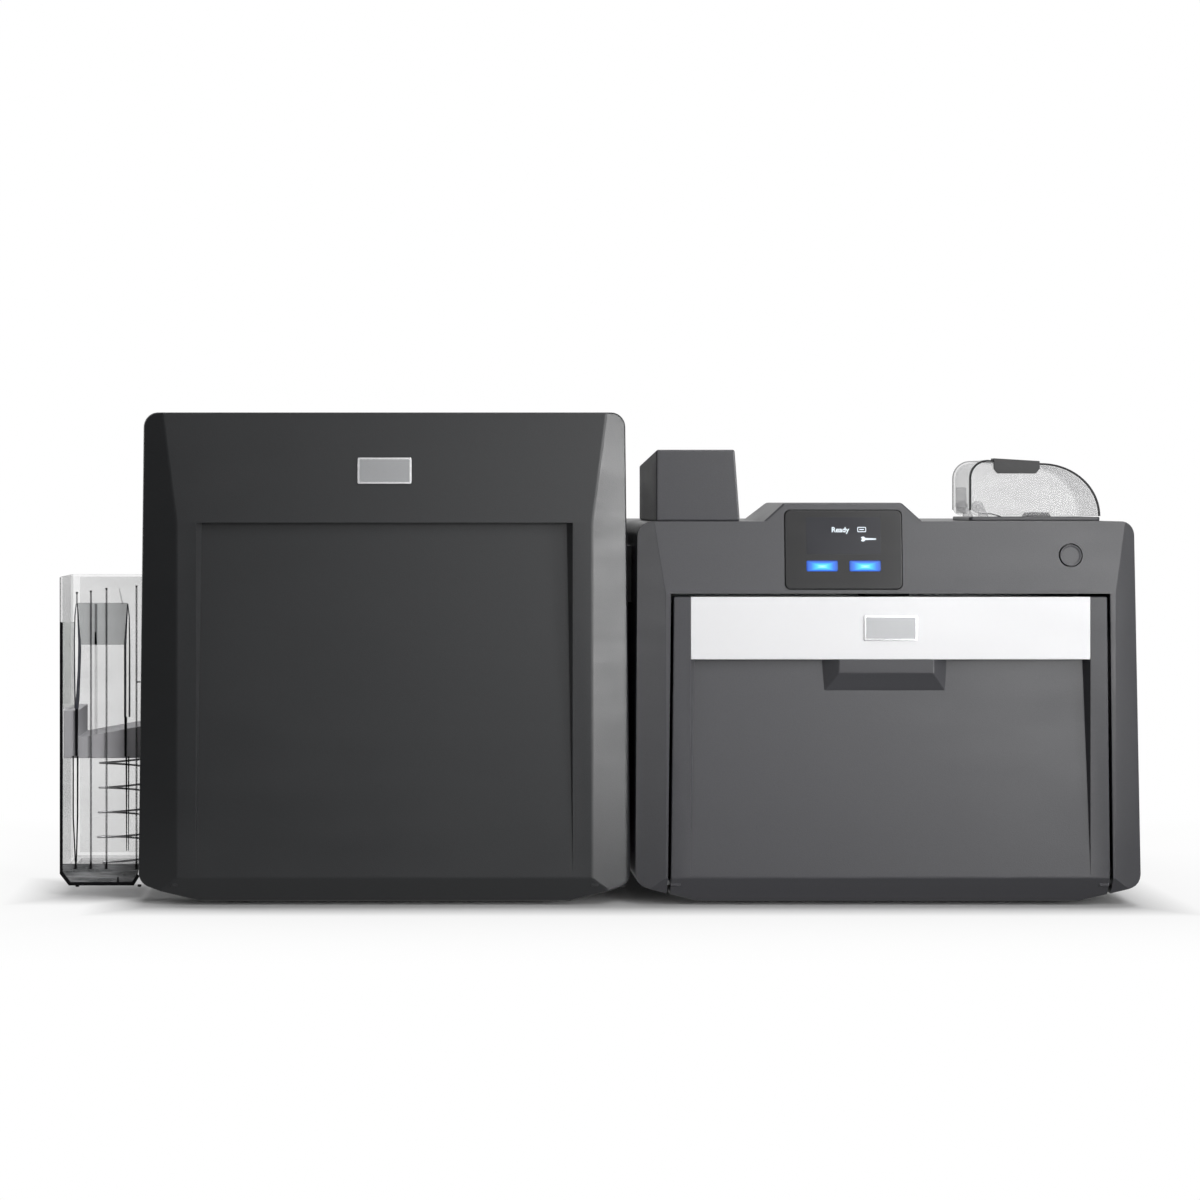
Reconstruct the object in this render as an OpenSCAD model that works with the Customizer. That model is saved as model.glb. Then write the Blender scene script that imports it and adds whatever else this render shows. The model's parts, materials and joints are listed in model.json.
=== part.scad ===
// Id card printer with a docked lamination module and a clear output hopper.
// X runs to the right, the fronts face -Y, and Z is up. The origin is at the
// middle of the row's footprint, at the height of the surface it stands on.

/* [Row] */
// Depth of both housings, front to back
depth = 320; // [290:1:384]
// Gap between the docked housings
dock_gap = 3.2; // [2:0.1:5]
// Length of the output hopper that shows beside the module
hopper_show = 64.3; // [50:0.1:72]
// Distance of the card path's middle behind the front plane
card_set_back = 88; // [84:1:94]
// Height of the rubber feet
foot_h = 3.5; // [3:0.1:6]
// Wall thickness of the housings
wall = 3; // [2.5:0.1:3.5]

/* [Lamination module] */
// Width of the module at its foot
module_w = 372; // [350:1:446]
// Height of the module over its feet
module_h = 372; // [355:1:400]
// Height at which its upper face starts to lean back
module_crease_z = 289; // [284:1:294]
// Distance by which its upper face leans back at the top
module_lean = 6; // [4:0.5:8]
// Width of the recessed middle panel
module_panel_w = 275; // [240:1:285]
// Height of the card path over the surface
module_card_z = 236; // [226:1:238]
// Depth of the swinging front cover
cover_d = 24; // [22:1:28]

/* [Printer] */
// Width of the printer at its foot
printer_w = 381; // [360:1:457]
// Height of the printer's flat top
printer_h = 290; // [288:1:296]
// Height at which the control face starts to lean back
printer_crease_z = 236; // [235:1:238]
// Distance by which the control face leans back at the top
printer_lean = 4; // [2:0.5:6]
// Height of the card path over the surface
printer_card_z = 262; // [260:1:262]
// Width of the front door at its top
door_top_w = 325; // [300:1:328]
// Width of the front door at its foot
door_foot_w = 330; // [305:1:332]
// Clearance around the front door
door_gap = 2.3; // [1.5:0.1:3]
// Height of the door's upper edge
door_top_z = 233.4; // [230:0.1:234]
// Width of the silver band
band_w = 300; // [260:1:306]
// Height of the silver band
band_h = 47; // [36:1:52]

/* [Display and buttons] */
// Distance of the display's middle from the printer's left side
display_x = 155.5; // [140:0.5:170]
// Width of the display's bezel
bezel_w = 87.5; // [78:0.5:92]
// Height of the display's bezel
bezel_h = 59.2; // [54:0.1:60]
// Width of a lit soft button
soft_w = 23; // [18:0.5:26]
// Height of a lit soft button
soft_h = 7.5; // [6:0.5:9]
// Diameter of the power button
power_d = 17.4; // [14:0.1:20]

/* [Hoppers] */
// Length of the output hopper's bin
bin_l = 110; // [108:1:114]
// Width of the output hopper's bin
bin_w = 70; // [68:1:72]
// Height of the output hopper's rim over the surface
bin_top_z = 247; // [244:1:250]
// Wall thickness of the clear parts
clear_wall = 2; // [1.6:0.1:2.4]
// Number of curls in the hopper's spring
spring_curls = 4.25; // [3.25:1:6.25]
// Radius of the spring's lowest curl
spring_r_low = 30; // [24:0.5:30]
// Radius of the spring's highest curl
spring_r_high = 27.5; // [22:0.5:30]
// Diameter of the spring's wire
wire_d = 1.6; // [1.2:0.1:2]
// Length of the input hopper
input_l = 101; // [99:1:104]
// Width of the input hopper
input_w = 64; // [62:1:68]
// Height of the smoke cover's top over the printer's top
input_rise = 47; // [44:1:52]

/* [Rollers and gears] */
// Diameter of the roller shafts
shaft_d = 6; // [5:0.5:6]
// Radial clearance of shafts in their bores
run_fit = 0.05; // [0.03:0.01:0.1]
// Tooth module of the gears
tooth = 1.5; // [1.5:0.1:1.5]
// Teeth of the motor pinions
pinion_n = 14; // [12:1:16]
// Teeth of the driven gears
gear_n = 42; // [40:1:42]
// Width of the gears
gear_w = 7; // [5:0.5:8]

/* [Hidden] */

// Faces and middles of the row
front_y = -depth / 2;
back_y = depth / 2;
row_w = hopper_show + module_w + dock_gap + printer_w;
module_x0 = -row_w / 2 + hopper_show;
module_x = module_x0 + module_w / 2;
module_x1 = module_x0 + module_w;
printer_x0 = module_x1 + dock_gap;
printer_x = printer_x0 + printer_w / 2;
printer_x1 = printer_x0 + printer_w;
card_y = front_y + card_set_back;
fit = 0.3;               // clearance between parts that move past each other
through = 1;             // overlap of a cut with what it cuts
card_l = 85.6;
card_w = 54;
card_t = 0.76;

// Shape shared by both housings
corner_w = 30;           // module: width of the cut front corners
corner_d = 16;           // module: depth of the cut front corners
printer_corner_w = 21;
printer_corner_d = 10;
bevel_z = 22;            // height of the crease over the lower bevel
bevel_d = 12;            // distance by which the lower bevel runs back
side_lean = 4;           // lean of each side over the full height
top_r = 11;
base_z = 14;             // parting line between base and casing
floor_t = 3;

// Swinging fronts
axis_z = 18;
axis_y = front_y + 13;
pin_d = 5;
recess_d = 10;           // depth of the recessed panels at their upper edge
recess_facet = 3.8;      // width of the slanted edges beside them

// Control face
face_angle = atan(printer_lean / (printer_h - printer_crease_z));
face_x = printer_x0 + display_x;
hump_rise = 14;
hump_base_w = 130;
hump_top_w = 88.5;
hump_back = 105;         // distance that the hump runs back before it falls
bezel_z = 268.7;
bezel_t = 2;
soft_z = 256.5;
soft_dx = 16.1;
power_x = printer_x1 - 54.9;
power_z = 264.5;

// Input hopper
input_x1 = printer_x1 - 18.5;
input_x0 = input_x1 - input_l;
input_flange = 3;
input_floor_z = printer_card_z + 4;
cover_axis_x = input_x0 + 7;
cover_axis_z = printer_h + input_flange + 7.7;
cover_z0 = printer_h + input_flange + 0.6;
cover_top_z = printer_h + input_rise;

// Output hopper
bin_x0 = -row_w / 2;
bin_x1 = bin_x0 + bin_l;
bin_x = (bin_x0 + bin_x1) / 2;
bin_z0 = 9.3;
bin_floor = 14;          // height of the floor over the bin's underside
platform_z = 112;
platform_drop = 60;
dock_clear = 1.2;
dock_wall = 2.5;

// Rollers and frames
bore = shaft_d / 2 + run_fit;
spool_shaft = 8;
plate_t = 2;
rear_y = card_y + 44;    // front side of the rear frame plates
front_frame_y = card_y - 40;
cartridge_t = 4;
gear_y = rear_y + plate_t + 2;
gear_distance = tooth * (pinion_n + gear_n) / 2 + 0.25;

// ---- shapes that repeat ----

// Block given by its lowest and highest corners
module block(low, high) {
    translate(low) cube([high[0] - low[0], high[1] - low[1], high[2] - low[2]]);
}

// Rod along Y between two depths
module rod_y(x, z, r, y0, y1) {
    translate([x, y1, z]) rotate([90, 0, 0]) cylinder(r = r, h = y1 - y0, $fn = 48);
}

// Rod along X between two places
module rod_x(y, z, r, x0, x1) {
    translate([x0, y, z]) rotate([0, 90, 0]) cylinder(r = r, h = x1 - x0, $fn = 48);
}

// Extrudes an XZ outline along Y between two depths
module along_y(y0, y1) {
    translate([0, y1, 0]) rotate([90, 0, 0]) linear_extrude(y1 - y0) children();
}

// Extrudes a YZ outline along X between two places
module along_x(x0, x1) {
    translate([x0, 0, 0]) rotate([90, 0, 90]) linear_extrude(x1 - x0) children();
}

// Points of an arc from angle a0 to a1
function arc(cx, cz, r, a0, a1, n = 6) =
    [for (i = [0:n]) [cx + r * cos(a0 + (a1 - a0) * i / n), cz + r * sin(a0 + (a1 - a0) * i / n)]];

// Housing form: plan with cut front corners, front outline with leaning sides
// and side outline with a leaning upper face, drawn in by the inset
module housing(mid, w, top, cw, cd, crease, lean, inset = 0) {
    half = w / 2 - inset;
    slant = sqrt(cw * cw + cd * cd);
    corner_x = w / 2 - cw + (cw * inset - inset * slant) / cd;
    corner_y = front_y + (cd * (cw - inset) + inset * slant) / cw;
    foot = foot_h + inset;
    high = top - inset;
    r = top_r - inset;
    intersection() {
        translate([mid, 0, 0]) linear_extrude(top) polygon([
            [-corner_x, front_y + inset], [corner_x, front_y + inset],
            [half, corner_y], [half, back_y - inset],
            [-half, back_y - inset], [-half, corner_y]]);
        translate([mid, 0, 0]) along_y(front_y - through, back_y + through) polygon(concat(
            [[-half + 46, foot], [half - 46, foot], [half - 8, foot + 10.5],
             [half, foot + 20]],
            arc(half - side_lean - r, high - r, r, 0, 90),
            arc(-half + side_lean + r, high - r, r, 90, 180),
            [[-half, foot + 20], [-half + 8, foot + 10.5]]));
        along_x(mid - w / 2 - through, mid + w / 2 + through) polygon([
            [front_y + bevel_d + inset, foot], [front_y + inset, bevel_z],
            [front_y + inset, crease], [front_y + lean + inset, high],
            [back_y - inset, high], [back_y - inset, foot]]);
    }
}

module module_form(inset = 0) {
    housing(module_x, module_w, module_h, corner_w, corner_d, module_crease_z,
        module_lean, inset);
}

module printer_form(inset = 0) {
    housing(printer_x, printer_w, printer_h, printer_corner_w, printer_corner_d,
        printer_crease_z, printer_lean, inset);
}

// Wedge that sinks a front panel: deep at its upper edge, nothing at its foot,
// with slanted edges at both sides
module panel_recess(mid, w, top) {
    intersection() {
        along_x(mid - w, mid + w) polygon([
            [front_y - through, bevel_z + 2], [front_y, bevel_z + 2],
            [front_y + recess_d, top], [front_y - through, top]]);
        translate([mid, 0, 0]) linear_extrude(top + through) polygon([
            [-w / 2 - recess_facet, front_y], [-w / 2 - recess_facet, front_y - through],
            [w / 2 + recess_facet, front_y - through], [w / 2 + recess_facet, front_y],
            [w / 2, front_y + recess_d], [w / 2, front_y + 2 * recess_d],
            [-w / 2, front_y + 2 * recess_d], [-w / 2, front_y + recess_d]]);
    }
}

// Places a flat detail on the leaning control face: X right, Z up the face
module on_face(x, z) {
    translate([x, front_y + (z - printer_crease_z) * tan(face_angle), z])
        rotate([-face_angle, 0, 0]) children();
}

// Toothed wheel along Y with straight flanks, its first tooth turned by turn
module gear(x, z, n, y0, turn = 0) {
    pitch = tooth * n / 2;
    tip = pitch + 0.75 * tooth;
    root = pitch - 1.15 * tooth;
    step = 360 / n;
    translate([x, y0 + gear_w, z]) rotate([90, 0, 0]) rotate([0, 0, turn])
        linear_extrude(gear_w) polygon([for (i = [0:n - 1]) each [
            [root * cos(step * (i - 0.34)), root * sin(step * (i - 0.34))],
            [tip * cos(step * (i - 0.11)), tip * sin(step * (i - 0.11))],
            [tip * cos(step * (i + 0.11)), tip * sin(step * (i + 0.11))],
            [root * cos(step * (i + 0.34)), root * sin(step * (i + 0.34))]]]);
}

// Roller along Y: shaft with a thicker roll between the frame plates
module roller(x, z, roll_r, roll_w = 62) {
    rod_y(x, z, shaft_d / 2, front_frame_y - plate_t - 2, rear_y + plate_t + 1.5);
    rod_y(x, z, roll_r, card_y - roll_w / 2, card_y + roll_w / 2);
}

// Spool along Y: shaft, core flanges and the wound film
module spool(x, z, wound_r) {
    rod_y(x, z, spool_shaft / 2, front_frame_y - cartridge_t + 0.5, rear_y + plate_t);
    rod_y(x, z, wound_r, card_y - 30, card_y + 30);
    rod_y(x, z, wound_r + 4, card_y - 32.5, card_y - 30);
    rod_y(x, z, wound_r + 4, card_y + 30, card_y + 32.5);
}

// ---- output hopper ----

dock_y0 = card_y - bin_w / 2 - dock_clear - dock_wall;
dock_y1 = card_y + bin_w / 2 + dock_clear + dock_wall;
dock_x1 = bin_x1 + dock_clear + dock_wall;
dock_z1 = bin_top_z + 6;
bin_floor_z = bin_z0 + bin_floor;
slot_half = 9;           // half height of the card slots in the walls

// Clear bin: closed floor, open top, a low right wall where the cards drop in
module hopper_bin() color([0.75, 0.78, 0.8, 0.5]) difference() {
    along_y(card_y - bin_w / 2, card_y + bin_w / 2) polygon([
        [bin_x0, bin_top_z], [bin_x0, bin_z0 + 9], [bin_x0 + 7, bin_z0],
        [bin_x1 - 7, bin_z0], [bin_x1, bin_z0 + 9], [bin_x1, bin_top_z]]);
    block([bin_x0 + clear_wall, card_y - bin_w / 2 + clear_wall, bin_floor_z],
        [bin_x1 - clear_wall, card_y + bin_w / 2 - clear_wall, bin_top_z + through]);
    block([bin_x0 + 9, card_y - bin_w / 2 + clear_wall, bin_z0 - through],
        [bin_x1 - 9, card_y + bin_w / 2 - clear_wall, bin_floor_z - clear_wall]);
    block([bin_x1 - clear_wall - through, card_y - bin_w / 2 + clear_wall,
        module_card_z - slot_half - 4],
        [bin_x1 + through, card_y + bin_w / 2 - clear_wall, bin_top_z + through]);
}

// Platform that the cards land on: a ramp with a stop at its outer end
module hopper_platform() color([0.16, 0.16, 0.17]) {
    x0 = bin_x0 + clear_wall + 0.8;
    x1 = bin_x1 - clear_wall - 0.8;
    half = bin_w / 2 - clear_wall - 0.8;
    difference() {
        along_y(card_y - half, card_y + half) polygon([
            [x0, platform_z - 5], [x1, platform_z - 5], [x1, platform_z + 28],
            [x0 + 11, platform_z + 11], [x0 + 11, platform_z + 32],
            [x0, platform_z + 32]]);
        along_y(card_y - half + 2.5, card_y + half - 2.5) polygon([
            [x0 + 13, platform_z - 5 - through], [x1 - 3, platform_z - 5 - through],
            [x1 - 3, platform_z - 3], [x0 + 13, platform_z - 3]]);
    }
}

// Spring under the platform: one wire, its curls widening toward the foot,
// with a straight end standing on the bin's floor and one under the platform
spring_z0 = bin_floor_z + fit;
spring_z1 = platform_z - 3 - fit;
spring_steps = round(8 * spring_curls);
spring_sides = 6;
spring_pitch = (spring_z1 - spring_z0 - 2 * wire_d) / spring_curls;

function spring_r(t) = spring_r_low + (spring_r_high - spring_r_low) * t;
function spring_point(t) = let (turn = 360 * spring_curls * t)
    [spring_r(t) * cos(turn), spring_r(t) * sin(turn),
     spring_z0 + wire_d + t * spring_pitch * spring_curls];
spring_path = concat(
    [[spring_r(0), 0, spring_z0]],
    [for (i = [0:spring_steps]) spring_point(i / spring_steps)],
    [[spring_point(1)[0], spring_point(1)[1], spring_z1]]);
spring_last = len(spring_path) - 1;
// Direction of the wire at a ring: straight up at the two ends
function spring_way(i) = i == 0 || i == spring_last ? [0, 0, 1]
    : let (way = spring_path[i + 1] - spring_path[i - 1]) way / norm(way);
function spring_out(i) = let (p = spring_path[i]) [p[0], p[1], 0] / norm([p[0], p[1]]);
function spring_ring(i) = let (out = spring_out(i), side = cross(spring_way(i), out))
    [for (k = [0:spring_sides - 1]) spring_path[i] + wire_d / 2
        * (out * cos(360 * k / spring_sides) + side * sin(360 * k / spring_sides))];
// Least distance between stretches of wire a half curl or more apart
spring_gap = min([for (i = [1:spring_last - 1]) for (j = [i + 4:1:spring_last])
    norm(spring_path[i] - spring_path[j])]) - wire_d;
echo(least_gap_of_the_spring_to_itself = spring_gap);

module hopper_spring() color([0.7, 0.71, 0.73]) translate([bin_x, card_y, 0]) {
    n = spring_sides;
    polyhedron(
        points = [for (i = [0:spring_last]) each spring_ring(i)],
        faces = concat(
            [for (k = [1:n - 2]) [0, k, k + 1]],
            [for (i = [0:spring_last - 1]) for (k = [0:n - 1]) for (half = [0, 1])
                let (a = i * n + k, b = i * n + (k + 1) % n)
                half == 0 ? [b, a, a + n] : [b, a + n, b + n]],
            [for (k = [1:n - 2]) [spring_last * n, spring_last * n + k + 1,
                spring_last * n + k]]));
}

// Liner in the module's side that carries the bin, with the card slot at its end
module hopper_dock() color([0.14, 0.14, 0.15]) intersection() {
    module_form(0.4);
    difference() {
        block([module_x0, dock_y0, foot_h + floor_t], [dock_x1, dock_y1, dock_z1]);
        block([module_x0 - through, dock_y0 + dock_wall, bin_z0 - fit],
            [dock_x1 - dock_wall, dock_y1 - dock_wall, dock_z1 - dock_wall]);
        block([dock_x1 - dock_wall - through, card_y - 30, module_card_z - slot_half],
            [dock_x1 + through, card_y + 30, module_card_z + slot_half]);
    }
}

// ---- lamination module ----

base_y0 = axis_y + 20;   // the bases start behind the swing of the fronts
module_body_y = front_y + cover_d + 1.5;
arm_x = 152;             // middle of the module's hinge arms from its middle
arm_t = 5;

// Card slots between the two housings
module card_slot(x, z0, z1) {
    block([x - 8, card_y - 30, z0], [x + 8, card_y + 30, z1]);
}

module module_base() color([0.2, 0.2, 0.21]) {
    difference() {
        intersection() {
            module_form(0);
            block([module_x0, base_y0, 0], [module_x1, back_y, base_z]);
        }
        intersection() {
            module_form(wall);
            block([module_x0, base_y0 + wall, 0], [module_x1, back_y, base_z + through]);
        }
        block([module_x0 - through, dock_y0, foot_h + floor_t],
            [dock_x1, dock_y1, base_z + through]);
    }
    for (side = [-1, 1]) hinge_arm(module_x + side * arm_x, arm_t);
}

// Arm that reaches forward from a base to a hinge pin
module hinge_arm(x, t) difference() {
    along_x(x - t / 2, x + t / 2) polygon([
        [axis_y - 4.5, axis_z - 3], [axis_y - 4.5, axis_z + 4.5],
        [base_y0 + wall, axis_z + 4.5], [base_y0 + wall, base_z - 2],
        [base_y0, base_z - 2], [base_y0, axis_z - 1], [axis_y + 7, axis_z - 1],
        [axis_y + 4.5, axis_z - 3]]);
    rod_x(axis_y, axis_z, pin_d / 2, x - t, x + t);
}

module module_casing() color([0.24, 0.24, 0.25]) difference() {
    module_form(0);
    module_form(wall);
    block([module_x0 - through, front_y - through, 0],
        [module_x1 + through, module_body_y, module_h + through]);
    block([module_x0 - through, base_y0, 0], [module_x1 + through, back_y + through, base_z]);
    block([module_x0 + 12, front_y, 0], [module_x1 - 12, base_y0 + through, base_z]);
    block([module_x0 - through, dock_y0 - 0.1, 0], [dock_x1, dock_y1 + 0.1, dock_z1 + 0.1]);
    card_slot(module_x1, module_card_z - slot_half, printer_card_z + slot_half);
    translate([module_x0 + 70, back_y - wall / 2, 60]) inlet_cut();
    for (i = [0:11])
        block([module_x + 30 + i * 9, back_y - wall - through, 250],
            [module_x + 34 + i * 9, back_y + through, 320]);
}

// Duct that carries a card across the gap between the docked housings
collar_reach = 8;
module dock_collar() color([0.15, 0.15, 0.16]) difference() {
    block([module_x1 - collar_reach, card_y - 29.9, module_card_z - slot_half + 0.1],
        [printer_x0 + collar_reach, card_y + 29.9, printer_card_z + slot_half - 0.1]);
    block([module_x1 - collar_reach - through, card_y - 28.4, module_card_z - slot_half + 1.6],
        [printer_x0 + collar_reach + through, card_y + 28.4,
        printer_card_z + slot_half - 1.6]);
}

// Front cover: skin, cut corners, leaning upper face and sunk middle panel
module module_cover() color([0.29, 0.29, 0.3]) difference() {
    union() {
        difference() {
            intersection() {
                module_form(0);
                block([module_x0, front_y, 0], [module_x1, front_y + cover_d, module_h]);
            }
            difference() {
                module_form(wall);
                // Skin that follows the sunk panel
                intersection() {
                    translate([0, wall, 0])
                        panel_recess(module_x, module_panel_w + 2 * wall, module_crease_z + wall);
                    block([module_x0, front_y, 0], [module_x1, front_y + cover_d, module_h]);
                }
            }
        }
        for (side = [-1, 1]) cover_lug(module_x + side * (arm_x + arm_t + 1), arm_t);
    }
    panel_recess(module_x, module_panel_w, module_crease_z);
    for (side = [-1, 1]) {
        block([module_x + side * arm_x - arm_t / 2 - fit, front_y + bevel_d, 0],
            [module_x + side * arm_x + arm_t / 2 + fit, front_y + cover_d + through, base_z]);
        rod_x(axis_y, axis_z, pin_d / 2 + run_fit, module_x + side * (arm_x + arm_t + 1) - arm_t,
            module_x + side * (arm_x + arm_t + 1) + arm_t);
    }
}

// Lug inside a swinging front that turns on a hinge pin
module cover_lug(x, t) {
    along_x(x - t / 2, x + t / 2) polygon([
        [front_y + wall - 0.5, axis_z - 2], [axis_y - 1, axis_z - 5],
        [axis_y + 5, axis_z - 5], [axis_y + 5, axis_z + 5], [front_y + wall - 0.5, axis_z + 8]]);
}

// Blank plate on the upper face, seated on the leaning surface
badge_w = 40.5;
badge_h = 20;
badge_t = 1;
module module_badge() color([0.7, 0.7, 0.72])
    translate([module_x, front_y + (328 - module_crease_z) * module_lean
        / (module_h - module_crease_z), 328])
        rotate([-atan(module_lean / (module_h - module_crease_z)), 0, 0])
            block([-badge_w / 2, -badge_t, -badge_h / 2], [badge_w / 2, 0, badge_h / 2]);

// Steel pins of both swinging fronts
module hinge_pins() color([0.7, 0.7, 0.72]) for (side = [-1, 1]) {
    inner = arm_x - arm_t / 2;
    rod_x(axis_y, axis_z, pin_d / 2, module_x + (side > 0 ? inner : -inner - 11),
        module_x + (side > 0 ? inner + 11 : -inner));
    door_side = printer_x + side * door_pin_x;
    rod_x(axis_y, axis_z, pin_d / 2, door_side - 4.5, door_side + 4.5);
}

// Rubber feet under both housings
module feet() color([0.08, 0.08, 0.08]) {
    for (x = [module_x - 120, module_x + 120, printer_x - 120, printer_x + 120])
        for (y = [base_y0 + 20, back_y - 30])
            translate([x, y, 0]) cylinder(d = 18, h = foot_h, $fn = 48);
}

// Where the card path's rollers and spools lie in the module
heat_x = module_x + 10;
heat_r = 16;
nip = card_t / 2 + 0.05;      // half gap between two rollers that grip a card
guide_r = 7;
entry_x = module_x + 118;
exit_x = module_x - 116;
supply_x = module_x - 50;
takeup_x = module_x + 66;
laminate_z = 308;
supply_r = 24;
takeup_r = 18;
mesh_angle = -60;
motor_w = 34;
plate_half = 130;

module rear_bores(xz_list, r) {
    for (p = xz_list) rod_y(p[0], p[1], r, rear_y - through, rear_y + plate_t + through);
}

module front_bores(xz_list, r) {
    for (p = xz_list)
        rod_y(p[0], p[1], r, front_frame_y - plate_t - through, front_frame_y + through);
}

module_rollers = [
    [heat_x, module_card_z + nip + heat_r], [heat_x, module_card_z - nip - heat_r],
    [entry_x, module_card_z - nip - guide_r], [exit_x, module_card_z - nip - guide_r]];
module_spools = [[supply_x, laminate_z], [takeup_x, laminate_z]];
module_motor_at = module_rollers[1]
    + gear_distance * [cos(mesh_angle), sin(mesh_angle)];

// Upright steel plate that carries the rollers and the motor
module module_rear_plate() color([0.62, 0.63, 0.65]) difference() {
    union() {
        block([module_x - plate_half, rear_y, foot_h + floor_t],
            [module_x + plate_half, rear_y + plate_t, 345]);
        block([module_x - plate_half, rear_y, foot_h + floor_t],
            [module_x + plate_half, rear_y + 22, foot_h + floor_t + plate_t]);
    }
    rear_bores(module_rollers, bore);
    rear_bores(module_spools, spool_shaft / 2 + run_fit);
    rear_bores([module_motor_at], 5);
}

// Front plate of the roller frame with its four spacer rods
module module_front_plate() color([0.62, 0.63, 0.65]) {
    z0 = module_card_z - 44;
    z1 = module_card_z + 28;
    difference() {
        block([module_x - plate_half, front_frame_y - plate_t, z0],
            [module_x + plate_half, front_frame_y, z1]);
        front_bores(module_rollers, bore);
    }
    for (x = [module_x - plate_half + 5, module_x + plate_half - 5])
        for (z = [z0 + 5, z1 - 5]) rod_y(x, z, 3, front_frame_y, rear_y);
}

module heat_roller() color([0.55, 0.2, 0.15])
    roller(module_rollers[0][0], module_rollers[0][1], heat_r);

// Lower roller with its gear wheel behind the rear plate
module pressure_roller() color([0.2, 0.2, 0.21]) {
    at = module_rollers[1];
    roller(at[0], at[1], heat_r);
    rod_y(at[0], at[1], shaft_d / 2, rear_y, gear_y + gear_w);
    gear(at[0], at[1], gear_n, gear_y, mesh_angle + 180 / gear_n);
}

module module_entry_roller() color([0.2, 0.2, 0.21])
    roller(module_rollers[2][0], module_rollers[2][1], guide_r);

module module_exit_roller() color([0.2, 0.2, 0.21])
    roller(module_rollers[3][0], module_rollers[3][1], guide_r);

// Cartridge frame: a front panel with two bores and two rails to the rear plate
module cartridge(x0, x1, z0, z1, spools) difference() {
    union() {
        block([x0, front_frame_y - cartridge_t, z0], [x1, front_frame_y, z1]);
        for (z = [z0, z1 - 4])
            block([x0, front_frame_y - cartridge_t, z], [x1, rear_y, z + 4]);
    }
    for (z = [z0, z1 - 4]) block([x0 + 14, card_y - 34, z - through],
        [x1 - 14, card_y + 34, z + 4 + through]);
    for (p = spools)
        rod_y(p[0], p[1], spool_shaft / 2 + run_fit, front_frame_y - cartridge_t - through,
            front_frame_y + through);
}

module laminate_cartridge() color([0.16, 0.3, 0.4])
    cartridge(module_x - 92, module_x + 104, laminate_z - 34, laminate_z + 34, module_spools);

module laminate_supply_spool() color([0.8, 0.8, 0.75]) spool(supply_x, laminate_z, supply_r);

module laminate_takeup_spool() color([0.8, 0.8, 0.75]) spool(takeup_x, laminate_z, takeup_r);

// Square motor in front of a rear plate, with a bore for its turning shaft
module motor(at) difference() {
    union() {
        block([at[0] - motor_w / 2, rear_y - 36, at[1] - motor_w / 2],
            [at[0] + motor_w / 2, rear_y, at[1] + motor_w / 2]);
        rod_y(at[0], at[1], 9, rear_y - 39, rear_y - 36);
    }
    rod_y(at[0], at[1], 2.5 + run_fit, rear_y - 20, rear_y + through);
}

module pinion(at, turn) {
    rod_y(at[0], at[1], 2.5, rear_y - 19.5, gear_y + gear_w);
    gear(at[0], at[1], pinion_n, gear_y, turn);
}

module module_motor() color([0.12, 0.12, 0.13]) motor(module_motor_at);

module module_pinion() color([0.8, 0.7, 0.35]) pinion(module_motor_at, mesh_angle + 180);

// Power inlet: flanged socket with three flat pins in a well
inlet_w = 27;
inlet_h = 20;
module inlet_cut() block([-inlet_w / 2 - 0.1, -20, -inlet_h / 2 - 0.1],
    [inlet_w / 2 + 0.1, 20, inlet_h / 2 + 0.1]);

module inlet() {
    difference() {
        union() {
            block([-inlet_w / 2, -24, -inlet_h / 2], [inlet_w / 2, 0, inlet_h / 2]);
            block([-inlet_w / 2 - 4, 0, -inlet_h / 2 - 4],
                [inlet_w / 2 + 4, badge_t, inlet_h / 2 + 4]);
        }
        block([-inlet_w / 2 + 2, -18, -inlet_h / 2 + 2],
            [inlet_w / 2 - 2, badge_t + through, inlet_h / 2 - 2]);
    }
    for (x = [-7, 0, 7]) block([x - 1, -18, x == 0 ? 0 : -4], [x + 1, -1, x == 0 ? 5 : 1]);
}

module module_power_inlet() color([0.07, 0.07, 0.07])
    translate([module_x0 + 70, back_y, 60]) inlet();

// ---- printer housing ----

door_pin_x = door_foot_w / 2 + 3;
door_arm_t = 3.5;
door_arm_x = door_foot_w / 2 + door_gap + 0.5 + door_arm_t / 2;
door_d = 20;
back_w = 300;
back_z0 = 24;
back_z1 = 236;
opening_top_z = door_top_z + 2.4;

// Outline of the door grown by a clearance on every side
module door_outline(grow) polygon([
    [-door_foot_w / 2 - grow, 0], [door_foot_w / 2 + grow, 0],
    [door_top_w / 2 + grow, door_top_z + (grow > 0 ? 2.4 : 0)],
    [-door_top_w / 2 - grow, door_top_z + (grow > 0 ? 2.4 : 0)]]);

// Raised middle of the control face that runs back and falls to the flat top
module hump(inset = 0) translate([face_x, 0, 0]) intersection() {
    along_y(front_y, back_y) polygon([
        [-hump_base_w / 2 + inset, printer_h - 5], [-hump_top_w / 2 + inset * 0.7,
        printer_h + hump_rise - inset], [hump_top_w / 2 - inset * 0.7,
        printer_h + hump_rise - inset], [hump_base_w / 2 - inset, printer_h - 5]]);
    along_x(-hump_base_w, hump_base_w) polygon([
        [front_y + printer_lean * 0.9 + inset, printer_h - 5],
        [front_y + printer_lean + hump_rise * tan(face_angle) + inset,
            printer_h + hump_rise - inset],
        [front_y + hump_back, printer_h + hump_rise - inset],
        [front_y + hump_back + 30, printer_h - 5]]);
}

module printer_base() color([0.2, 0.2, 0.21]) {
    difference() {
        intersection() {
            printer_form(0);
            block([printer_x0, base_y0, 0], [printer_x1, back_y, base_z]);
        }
        intersection() {
            printer_form(wall);
            block([printer_x0, base_y0 + wall, 0], [printer_x1, back_y, base_z + through]);
        }
    }
    for (side = [-1, 1]) hinge_arm(printer_x + side * door_arm_x, door_arm_t);
}

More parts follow.
